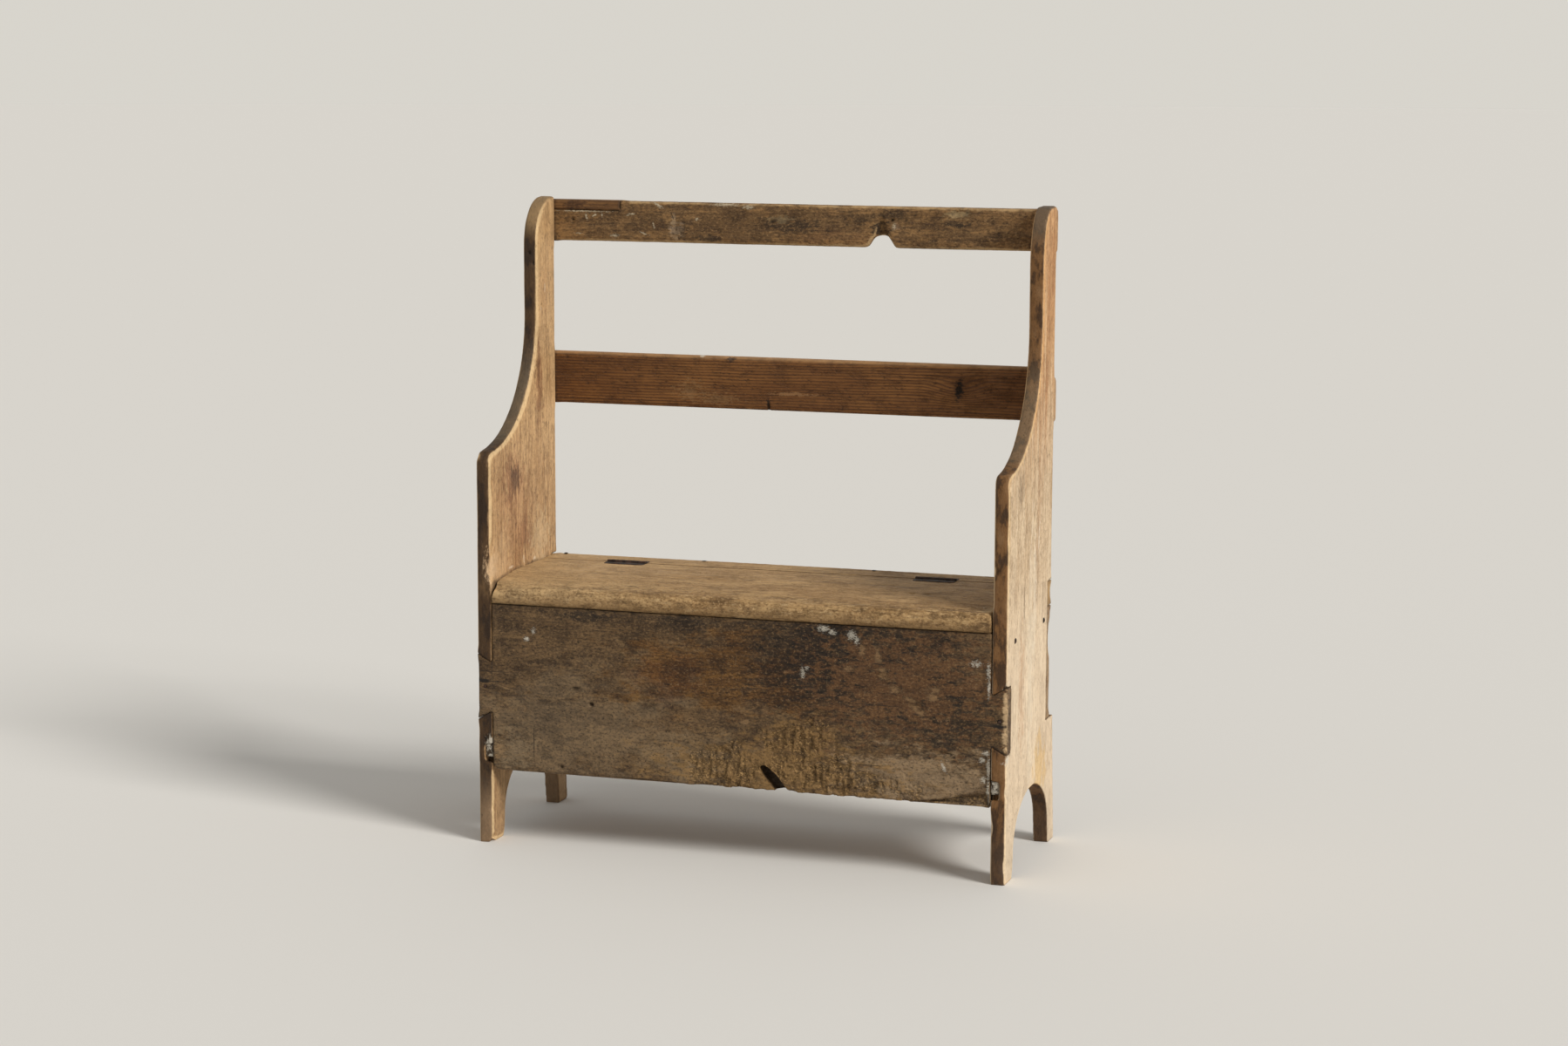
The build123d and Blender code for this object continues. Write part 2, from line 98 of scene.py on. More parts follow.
# %% A socket that can be added and multiplied
class Socket:
    """One output of a node. Signs between sockets and numbers add Math nodes to the same tree."""

    def __init__(self, output):
        self.output = output

    def node(self, kind, settings, sockets, output=0):
        """Adds any node: its settings first, then a value or a link for each of its sockets."""
        tree = self.output.id_data
        made = tree.nodes.new(kind)
        for name, value in settings.items():
            setattr(made, name, value)
        for name, value in sockets.items():
            if isinstance(value, Socket):
                tree.links.new(value.output, made.inputs[name])
            else:
                made.inputs[name].default_value = value
        return Socket(made.outputs[output]) if made.outputs else None

    def math(self, operation, *values):
        return self.node("ShaderNodeMath", {"operation": operation}, dict(enumerate(values)))

    def __add__(self, other):
        return self.math("ADD", self, other)

    def __sub__(self, other):
        return self.math("SUBTRACT", self, other)

    def __rsub__(self, other):
        return self.math("SUBTRACT", other, self)

    def __mul__(self, other):
        return self.math("MULTIPLY", self, other)

    def __truediv__(self, other):
        return self.math("DIVIDE", self, other)

    __radd__ = __add__
    __rmul__ = __mul__


# %% Soft steps, colours and blends
def ease(value, low, high):
    """0 at low and 1 at high, rising smoothly between them; low may be the larger."""
    span = {"Value": value, "From Min": low, "From Max": high}
    return value.node("ShaderNodeMapRange", {"interpolation_type": "SMOOTHSTEP"}, span)


def blend(mask, below, above, way="MIX"):
    """A colour that goes from one to another by a mask."""
    settings = {"data_type": "RGBA", "blend_type": way}
    return mask.node("ShaderNodeMix", settings, {0: mask, 6: below, 7: above}, output=2)


def tone(red, green, blue):
    """A screen colour, each part from 0 to 255, in the linear numbers that nodes use."""
    return (*Color((red / 255, green / 255, blue / 255)).from_srgb_to_scene_linear(), 1.0)


def new_material(name):
    """An empty material and its Object coordinates as a socket."""
    material = bpy.data.materials.new(name)
    material.use_nodes = True
    material.node_tree.nodes.clear()
    place = Socket(material.node_tree.nodes.new("ShaderNodeTexCoord").outputs["Object"])
    return material, place


# %% [markdown]
# ## Floor and light
# The bench stands on a plain pale floor. One broad lamp on the right and a little in front does most of the work, as
# the window does in the photograph: the seat and the faces turned to the right are bright, and the front is quieter.
# The world fills the shadows evenly. To the camera it has the floor's colour, so there is no horizon line.

# %% Lay the floor
FLOOR_REACH = 60.0
FLOOR_TONE = tone(226, 223, 217)
FLOOR_ROUGHNESS = 0.9
bm = bmesh.new()
bmesh.ops.create_circle(bm, cap_ends=True, segments=64, radius=FLOOR_REACH)
floor_mesh = bpy.data.meshes.new("studio_floor")
bm.to_mesh(floor_mesh)
bm.free()
floor = add("studio_floor", floor_mesh)
floor_paint, place = new_material("studio_floor")
paint = place.node("ShaderNodeBsdfPrincipled", {}, {"Base Color": FLOOR_TONE, "Roughness": FLOOR_ROUGHNESS})
paint.node("ShaderNodeOutputMaterial", {}, {"Surface": paint})
floor_mesh.materials.append(floor_paint)
print("The floor reaches", FLOOR_REACH, "metres")

# %% Hang the lamp and set the world
LAMP_SIDE = (0.8, -0.34, 0.56)
LAMP_STRENGTH = 2.7
LAMP_SPREAD = math.radians(20)
LAMP_TONE = (1.0, 0.985, 0.96)
WORLD_TONE = (1.0, 0.99, 0.97, 1.0)
WORLD_STRENGTH = 0.42
HORIZON_TONE = tone(216, 212.5, 204.5)

lamp = bpy.data.lights.new("window_lamp", "SUN")
lamp.energy = LAMP_STRENGTH
lamp.angle = LAMP_SPREAD
lamp.color = LAMP_TONE
add("window_lamp", lamp).rotation_euler = Vector(LAMP_SIDE).to_track_quat("Z", "Y").to_euler()

world = bpy.data.worlds.new("studio_world")
scene.world = world
world.use_nodes = True
world.node_tree.nodes.clear()
rays = world.node_tree.nodes.new("ShaderNodeLightPath").outputs
seen = Socket(rays["Is Camera Ray"]) + Socket(rays["Is Glossy Ray"]) + Socket(rays["Is Transmission Ray"])
fill = seen.node("ShaderNodeBackground", {}, {"Color": WORLD_TONE, "Strength": WORLD_STRENGTH})
horizon = seen.node("ShaderNodeBackground", {}, {"Color": HORIZON_TONE, "Strength": 1.0})
sky = seen.node("ShaderNodeMixShader", {}, {0: seen, 1: fill, 2: horizon})
sky.node("ShaderNodeOutputWorld", {}, {"Surface": sky})
print("Lamp and world are set")

# %% [markdown]
# ## How a board wears
# A new board has flat faces and sharp arrises. Use rounds the arrises, planing leaves shallow troughs along the
# grain, knocks leave dents, and worms open the soft wood. Sculpting by hand would do it, but not the same way
# twice. Here each board is a copy of its CAD solid, rebuilt as an even net of small quads, whose points are then
# pushed into the wood by fixed noise and by dents at places read from the photograph. Joints are sheltered, as on
# the real bench.

# %% Noise that is the same on every run
def smooth(value, low, high):
    """0 at low and 1 at high, rising smoothly between them, for whole arrays."""
    part = np.clip((value - low) / (high - low), 0, 1)
    return part * part * (3 - 2 * part)


def lattice(cells, seed):
    """A fixed number from 0 to 1 for each whole-numbered corner of a lattice."""
    turned = np.sin(cells @ (12.9898, 78.233, 37.719) + 4.1414 * seed) * 43758.5453
    return turned - np.floor(turned)


def clouds(points, size, seed):
    """Smooth noise from -1 to 1 with lumps of the given size in metres, one number or three."""
    scaled = points / np.asarray(size)
    cells = np.floor(scaled)
    part = smooth(scaled - cells, 0, 1)
    total = 0
    for corner in itertools.product((0, 1), repeat=3):
        weight = np.prod(np.where(corner, part, 1 - part), axis=1)
        total = total + weight * lattice(cells + corner, seed)
    return 2 * total - 1


# %% Copy a board as an even net
MERGE = 1e-5
SMOOTHING = 0.5


def net_copy(node, voxel):
    """A new piece with a node's shape, rebuilt as an even net of small quads."""
    bm = bmesh.new()
    bm.from_mesh(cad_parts[node].data)
    bmesh.ops.remove_doubles(bm, verts=bm.verts, dist=MERGE)
    solid = bpy.data.meshes.new(node + "_solid")
    bm.to_mesh(solid)
    bm.free()
    piece = add("worn_" + node, solid)
    remesh = piece.modifiers.new("even_net", "REMESH")
    remesh.mode = "VOXEL"
    remesh.voxel_size = voxel
    net = bpy.data.meshes.new_from_object(piece.evaluated_get(bpy.context.evaluated_depsgraph_get()))
    piece.modifiers.clear()
    piece.data = net
    net.name = piece.name
    net.materials.clear()
    net.shade_smooth()
    bpy.data.meshes.remove(solid)
    return piece


def refine(mesh, share):
    """Splits the quads into four where a function of the points is above nothing."""
    bm = bmesh.new()
    bm.from_mesh(mesh)
    chosen = share(np.array([vert.co for vert in bm.verts])) > 0
    edges = [edge for edge in bm.edges if all(chosen[vert.index] for vert in edge.verts)]
    bmesh.ops.subdivide_edges(bm, edges=edges, cuts=1, use_grid_fill=True)
    bm.to_mesh(mesh)
    bm.free()


def relaxed(mesh, rounds):
    """A mesh's points and normals after rounds of smoothing, which draw arrises in and leave flats alone."""
    bm = bmesh.new()
    bm.from_mesh(mesh)
    for _ in range(rounds):
        bmesh.ops.smooth_vert(bm, verts=bm.verts, factor=SMOOTHING, use_axis_x=True, use_axis_y=True,
                              use_axis_z=True)
    bm.normal_update()
    points = np.array([vert.co for vert in bm.verts])
    normals = np.array([vert.normal for vert in bm.verts])
    bm.free()
    return points, normals


# %% Find what shelters a board
BOARDS = ("left_end_board", "right_end_board", "front_panel", "back_panel", "bottom_board", "seat_lid",
          "seat_back_strip", "top_rail", "top_rail_patch", "mid_rail", "left_seat_cleat", "right_seat_cleat")
NEAR = 0.02


def gap_to_others(points, node):
    """How far each point is from the nearest other board, up to NEAR."""
    corners = []
    faces = []
    for other in BOARDS:
        if other != node:
            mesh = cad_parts[other].data
            faces += [[len(corners) + index for index in face.vertices] for face in mesh.polygons]
            corners += [vert.co for vert in mesh.vertices]
    tree = BVHTree.FromPolygons(corners, faces)
    gaps = [tree.find_nearest(point, NEAR)[3] for point in points]
    return np.array([NEAR if gap is None else gap for gap in gaps])


# %% Wear one board down
MM = 1000  # the tables of dents and marks are in millimetres
SHELTERED_GAP = 0.0015
OPEN_GAP = 0.018
GRIME_AND_SHADE_GAP = 0.012
PIT_REACH = 13
TROUGH_SIZE = (0.25, 0.02, 0.02)
RIPPLE_SIZE = 0.007
RUB_SIZES = (0.11, 0.026)
SHARP_ARRIS = 0.0006
FULL_WEAR = 0.0022
FULL_HOLLOW = 0.004
SOLE_SLOPE = -0.4
RIM_SLOPES = (0.92, 0.5)


def sink_at(points, dents):
    """How deep the dents push each point in. A dent is its middle, its reach and its depth."""
    depth = np.zeros(len(points))
    for middle, reach, deep in dents:
        apart = np.linalg.norm((points - np.divide(middle, MM)) / np.divide(reach, MM), axis=1)
        depth = np.maximum(depth, deep / MM * smooth(apart, 1.0, 0.15))
    return depth


def keep(mesh, name, values):
    """Stores one number at each point, for the finish to read."""
    mesh.attributes.new(name, "FLOAT", "POINT").data.foreach_set("value", values.astype(np.float32))


def wear(node, body, grain, voxel, seed, arris=1.0, rounds=16, trough=0.0009, dents=(), bites=None,
         fine=None):
    """A worn copy of a board. Grain names its axes along, across and through, such as XZY."""
    piece = net_copy(node, voxel * (1))
    mesh = piece.data
    if fine:
        refine(mesh, fine)
    points = np.array([vert.co for vert in mesh.vertices])
    normals = np.array([vert.normal for vert in mesh.vertices])
    gap = gap_to_others(points, node)
    bare = smooth(gap, SHELTERED_GAP, OPEN_GAP)
    soft, turned = relaxed(mesh, rounds)
    sharp = np.sum((points - soft) * normals, axis=1)
    broad, small = (clouds(points, size, seed + step) for step, size in enumerate(RUB_SIZES))
    rubbed = np.clip(0.8 + 0.25 * broad + 0.12 * small, 0, 1.1)
    share = arris(points) if callable(arris) else arris
    pull = share * rubbed * bare * smooth(sharp, 0, SHARP_ARRIS)
    size = [TROUGH_SIZE[grain.index(axis)] for axis in "XYZ"]
    sink = trough * (0.6 + 0.5 * clouds(points, size, seed + 2) + 0.2 * clouds(points, RIPPLE_SIZE, seed + 3))
    pits = sink_at(points, dents)
    dirty = sink_at(points, [dent for dent in dents if max(dent[1]) < PIT_REACH])
    turned = normals + (turned - normals) * bare[:, None]
    eaten = bites(points, normals) if bites else 0 * pits
    depth = sink * bare + pits + eaten
    worn = points + (soft - points) * pull[:, None] - normals * depth[:, None]
    sole = (points[:, 2] < voxel) & (normals[:, 2] < SOLE_SLOPE)
    worn[sole, 2] = points[sole, 2] + pits[sole]
    mesh.vertices.foreach_set("co", np.clip(worn, *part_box(node)).astype(np.float32).ravel())
    mesh.update()
    keep(mesh, "wear", np.clip(sharp / FULL_WEAR, 0, 1) * np.clip(rubbed, 0, 1) * bare)
    keep(mesh, "rim", smooth(np.abs(turned[:, "XYZ".index(grain[2])]), *RIM_SLOPES))
    # Grime and shade near the other boards, for the dirt and painted shade along joints.
    keep(mesh, "grime_and_shade", smooth(gap, GRIME_AND_SHADE_GAP, SHELTERED_GAP))
    keep(mesh, "hollow", np.clip(dirty / FULL_HOLLOW, 0, 1))
    keep(mesh, "eaten", np.clip(eaten / FULL_HOLLOW, 0, 1))
    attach(piece, body)
    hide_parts(node)
    print(piece.name, "has", len(mesh.polygons), "quads and is worn by up to", round(MM * max(depth), 1), "mm")
    return piece


# %% [markdown]
# ## The end boards
# Each end is one wide board, arched at the floor and coved up into a tall stile. Hands and knees have rounded its
# front edge and crown, its back edge is still crisp, and above the seat the left board's inner arris is rubbed to a
# hollow. Dents are listed as middle, reach and depth in millimetres, because each can be found in the photograph.

# %% Wear the end boards
END_NET = 0.0026
END_ROUNDS = 36
END_TROUGH = 0.0006
OUTER_TO_INNER = (0.446, 0.43)
BACK_TO_FRONT = (0.095, 0.055)
LEFT_DENTS = (
    ((-424, -167, 476), (14, 20, 46), 9.5),
    ((-437, -167, 656), (30, 18, 22), 6),
    ((-424, -167, 602), (10, 12, 18), 1.8),
    ((-437, -167, 176), (6, 8, 8), 4),
    ((-424, -167, 60), (8, 10, 14), 3),
    ((-424, -160, 4), (14, 12, 14), 6),
    ((-424, 5, 947), (6, 4, 4), 4),
    ((-424, 66, 877), (6, 4, 4), 4),
    ((-424, 84, 839), (6, 3, 4), 4),
    ((-424, 40, 480), (4, 50, 40), 1.2),
    ((-438, 43, 966), (5, 6, 5), 4),
    ((-431, 43, 949), (4, 6, 6), 4),
    ((-425, 44, 976), (4, 5, 4), 3),
)
RIGHT_DENTS = (
    ((430, -167, 503), (6, 8, 12), 4),
    ((450, -167, 640), (14, 14, 22), 2.5),
    ((450, -167, 556), (10, 12, 26), 1.6),
    ((450, -167, 318), (10, 10, 12), 4.5),
    ((450, -167, 238), (8, 10, 20), 3),
    ((450, -167, 150), (8, 10, 12), 3),
    ((424, -167, 92), (8, 10, 18), 3),
    ((450, -167, 30), (10, 10, 20), 3.5),
    ((450, 112, 2), (20, 22, 16), 6),
    ((450, 40, 520), (3, 10, 36), 1.2),
    ((450, -50, 300), (4, 30, 80), 1.5),
)


def handled(inside):
    """How far hands have rounded an end board: so much at inner arrises, half outside, and hardly behind."""

    def share(points):
        inner = smooth(np.abs(points[:, 0]), *OUTER_TO_INNER)
        return (0.5 + (inside - 0.5) * inner) * (0.2 + 0.8 * smooth(points[:, 1], *BACK_TO_FRONT))

    return share


left_end, right_end = (
    wear(node, "frame", "ZYX", END_NET, seed, handled(inside), END_ROUNDS, END_TROUGH, dents)
    for node, seed, inside, dents in (("left_end_board", 11, 1.1, LEFT_DENTS),
                                      ("right_end_board", 21, 0.4, RIGHT_DENTS)))

# %% [markdown]
# ## The front panel
# The front of the chest has suffered most. Worms have opened its lower middle into crumbly relief, the lower edge is
# nibbled, a sliver has broken off under the right end, and a plug of wood is gone. Relief this deep shows in the
# outline and catches the light, so it is cut into the net and not left to a bump texture.

# %% Wear the front panel
FRONT_NET = 0.0026
FRONT_DENTS = (
    ((-249, -167, 246), (6, 10, 5), 6),
    ((-302, -167, 138), (6, 10, 5), 5),
    ((-276, -167, 271), (11, 10, 4), 4),
    ((243, -167, 326), (14, 10, 7), 2.5),
    ((300, -167, 280), (20, 10, 12), 3),
    ((351, -167, 207), (22, 10, 4), 3.5),
    ((110, -167, 321), (12, 10, 12), 2.5),
    ((170, -167, 396), (40, 10, 12), 2),
    ((-356, -167, 356), (14, 10, 12), 1.8),
    ((-196, -167, 350), (14, 10, 5), 1.8),
    ((404, -167, 330), (20, 10, 30), 2.5),
    ((412, -167, 176), (14, 10, 50), 2.5),
    ((350, -167, 256), (40, 10, 30), 1.5),
)
EATEN_PATCHES = ((-20, 150, 75, 48), (105, 212, 62, 32), (120, 165, 90, 34), (215, 147, 100, 26))


def worm_share(points):
    """Where worms have opened the panel's face, from 0 to 1."""
    share = np.zeros(len(points))
    for middle, height, wide, high in np.divide(EATEN_PATCHES, MM):
        apart = np.hypot((points[:, 0] - middle) / wide, (points[:, 2] - height) / high)
        share = np.maximum(share, smooth(apart + 0.5 * clouds(points, 0.022, 31), 1.15, 0.45))
    return share * smooth(points[:, 1], -0.15, -0.16)


def eaten_front(points, normals):
    """Worm-eaten relief, the nibbled lower edge and the broken sliver."""
    x = points[:, 0]
    rise = points[:, 2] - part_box("front_panel")[0].z
    facing = smooth(-normals[:, 1], 0.3, 0.7)
    swayed = points + 0.004 * np.outer(clouds(points, 0.016, 36), (1.0, 0.0, 0.5))
    grooves = smooth(clouds(swayed, (0.005, 0.02, 0.015), 32), -0.3, 0.4)
    crumbs = smooth(clouds(points, 0.0042, 33), 0.0, 0.6)
    eaten = worm_share(points) * facing * (0.0004 + 0.0024 * grooves + 0.0012 * crumbs)
    ragged = smooth(rise, 0.012, 0.0) * smooth(x, -0.09, -0.04) * smooth(x, 0.33, 0.28)
    nibbles = smooth(clouds(points, 0.011, 34), -0.2, 0.7)
    nibbled = ragged * (0.0024 * nibbles + 0.0014 * clouds(points, 0.005, 37) ** 2)
    slope = rise - 0.019 * smooth(x, 0.3, 0.42)
    broken = smooth(slope + 0.002 * clouds(points, 0.01, 35), 0.004, 0.0)
    sliver = 0.006 * facing * smooth(x, 0.29, 0.32) * broken
    return eaten + nibbled + sliver


front = wear("front_panel", "frame", "XZY", FRONT_NET, 31, dents=FRONT_DENTS, bites=eaten_front,
             fine=worm_share)

# %% [markdown]
# ## The seat
# The lid is rubbed by every person who sat down: its nose is round and full of small knocks, most of all towards the
# right, and its left end is worn almost to a ball. The strip behind it is fixed and less worn.

# %% Wear the lid and the strip behind it
SEAT_NET = 0.0026
NOSE_KNOCKS = (
    (-118, 438), (-64, 430), (-22, 441), (31, 428), (78, 440), (116, 424), (150, 438), (203, 431), (247, 441),
    (288, 426), (331, 438), (372, 430),
)
LID_DENTS = tuple(((x, -170, z), (13, 12, 7), 2.6) for x, z in NOSE_KNOCKS) + (
    ((-422.5, -171, 440), (60, 30, 26), 8),
    ((422.5, -171, 440), (18, 16, 16), 4),
    ((-189, -131, 446), (14, 3, 6), 2.5),
    ((-255, -61, 446), (16, 3, 6), 2.5),
    ((268, -72, 446), (12, 3, 6), 2.5),
    ((293, -72, 446), (10, 3, 6), 2.5),
    ((-60, -80, 446), (160, 60, 10), 1.5),
    ((170, -100, 446), (120, 50, 10), 1.3),
)
STRIP_DENTS = (
    ((-430, 120, 446), (16, 12, 6), 3),
    ((-418, 139, 446), (12, 10, 6), 2.5),
)
lid = wear("seat_lid", "lid", "XYZ", SEAT_NET, 41, dents=LID_DENTS)
strip = wear("seat_back_strip", "frame", "XYZ", SEAT_NET, 51, dents=STRIP_DENTS)

# %% [markdown]
# ## The back rails
# The top rail is a rough old board with a notch in its lower edge, a patch let into its upper left edge, knots and
# pits. The middle rail is finer and straighter, with one split knot.

# %% Wear the rails and the patch
RAIL_NET = 0.0024
PATCH_NET = 0.0016
TOP_RAIL_DENTS = (
    ((-391, 125, 1019), (4, 10, 4), 5),
    ((173, 125, 1029), (4, 10, 4), 5),
    ((-206, 125, 1007), (12, 10, 18), 2.5),
    ((-36, 125, 1022), (8, 10, 6), 3),
    ((286, 125, 1043), (26, 12, 11), 3),
    ((-360, 125, 1032), (40, 10, 5), 2),
    ((-315, 125, 994), (12, 10, 5), 2),
    ((-120, 125, 1053), (60, 12, 6), 3),
    ((90, 125, 1050), (20, 12, 8), 3),
    ((214, 125, 983), (16, 10, 6), 2),
    ((156, 125, 1003), (13, 16, 18), 8),
    ((154, 125, 1022), (10, 14, 18), 5),
    ((178, 125, 1018), (6, 10, 8), 2),
)
MID_RAIL_DENTS = (
    ((290, 125, 752), (6, 10, 19), 5),
    ((-41, 125, 710), (4, 14, 12), 4.5),
    ((-140, 125, 795), (24, 10, 5), 3),
    ((-105, 125, 793), (7, 10, 6), 3),
    ((-180, 125, 736), (16, 10, 11), 1.5),
    ((60, 125, 795), (14, 10, 5), 2),
)
top_rail = wear("top_rail", "frame", "XZY", RAIL_NET, 61, rounds=24, dents=TOP_RAIL_DENTS)
patch = wear("top_rail_patch", "frame", "XZY", PATCH_NET, 71, trough=0.0005)
mid_rail = wear("mid_rail", "frame", "XZY", RAIL_NET, 81, trough=0.0005, dents=MID_RAIL_DENTS)

# %% [markdown]
# ## The boards inside and behind
# The back of the chest, its floor and the ledges under the seat are rough sawn and were never handled much, so their
# arrises stay crisper. A coarser net is enough for the back and the floor.

# %% Wear the inner boards
INNER_NET = 0.0034
CLEAT_NET = 0.0024
BACK_DENTS = (
    ((450, 127, 349), (10, 20, 36), 8),
    ((-200, 129, 215), (50, 12, 10), 4),
    ((160, 129, 216), (30, 12, 8), 4),
    ((50, 129, 330), (12, 10, 10), 3),
)
back = wear("back_panel", "frame", "XZY", INNER_NET, 91, arris=0.7, dents=BACK_DENTS)
bottom = wear("bottom_board", "frame", "XYZ", INNER_NET, 101, arris=0.6)
left_cleat = wear("left_seat_cleat", "frame", "YZX", CLEAT_NET, 111, arris=0.5)
right_cleat = wear("right_seat_cleat", "frame", "YZX", CLEAT_NET, 121, arris=0.5)

# %% [markdown]
# ## The iron
# Nails and hinges were beaten out by a smith, so no face is quite flat. Each piece is copied as a fine net and
# dimpled by a fraction of a millimetre, enough for the light to break on it.

# %% Forge the nails, pins and hinge leaves
IRON_NET = 0.0007
HAMMER_MARK = 0.0035
HAMMER_DEPTH = 0.00035
HAMMER_SEED = 131
SEAT_LEVEL = 0.4464
PROUD_NAIL = -0.3
LID_IRON = ("left_hinge_lid_leaf", "right_hinge_lid_leaf", "hinge_lid_nails")
FRAME_IRON = ("left_hinge_strip_leaf", "right_hinge_strip_leaf", "left_hinge_pin", "right_hinge_pin",
              "front_panel_nails", "back_panel_nails", "top_rail_nails", "mid_rail_nails", "seat_strip_nails",
              "cleat_nails", "hinge_strip_nails")


def forge(node, body):
    """A hammered copy of an iron node. Heads on the seat are beaten level, but for the far left one."""
    piece = net_copy(node, IRON_NET * (1))
    mesh = piece.data
    points = np.array([vert.co for vert in mesh.vertices])
    normals = np.array([vert.normal for vert in mesh.vertices])
    depth = HAMMER_DEPTH * (0.5 + 0.5 * clouds(points, HAMMER_MARK, HAMMER_SEED))
    beaten = points - normals * depth[:, None]
    if node == "seat_strip_nails":
        flush = beaten[:, 0] > PROUD_NAIL
        beaten[flush, 2] = np.minimum(beaten[flush, 2], SEAT_LEVEL)
    mesh.vertices.foreach_set("co", beaten.astype(np.float32).ravel())
    mesh.update()
    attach(piece, body)
    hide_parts(node)
    return piece


iron = [forge(node, "lid") for node in LID_IRON] + [forge(node, "frame") for node in FRAME_IRON]
print("Iron pieces:", len(iron), "with", sum(len(piece.data.polygons) for piece in iron), "quads")

# %% [markdown]
# ## The finish of old pine
# Old pine is never one colour. Under the dirt it shows growth rings, wide and pale in spring and narrow and dark in
# summer, and fine fibres along the grain. A picture of wood would repeat and slide at the corners, so here the rings
# are real ones, drawn in space around the tree's pith, and every face and end of a board cuts through the same rings.
# Over them go coats: each is a colour and a mask that says where age, soot, worms or hands have left it. Patches are
# listed in millimetres along and across the grain: place, half lengths, grit, raggedness, strength and colour.

# %% Growth rings, and coats over them
OUT_OF_PLAY = 1e4
FACE_DEPTH = 0.016
PLAIN_GRIT = 12
CRACK_DEPTH = 0.001
HOLE_DEPTH = 0.0015
SCRATCH_DEPTH = 0.0004
GRIT_DEPTH = 0.0008
DULL_SHEEN = 0.3
DIRT_AND_SHADE_TONE = (40, 31, 23)
PLASTER_TONE = (204, 195, 178)


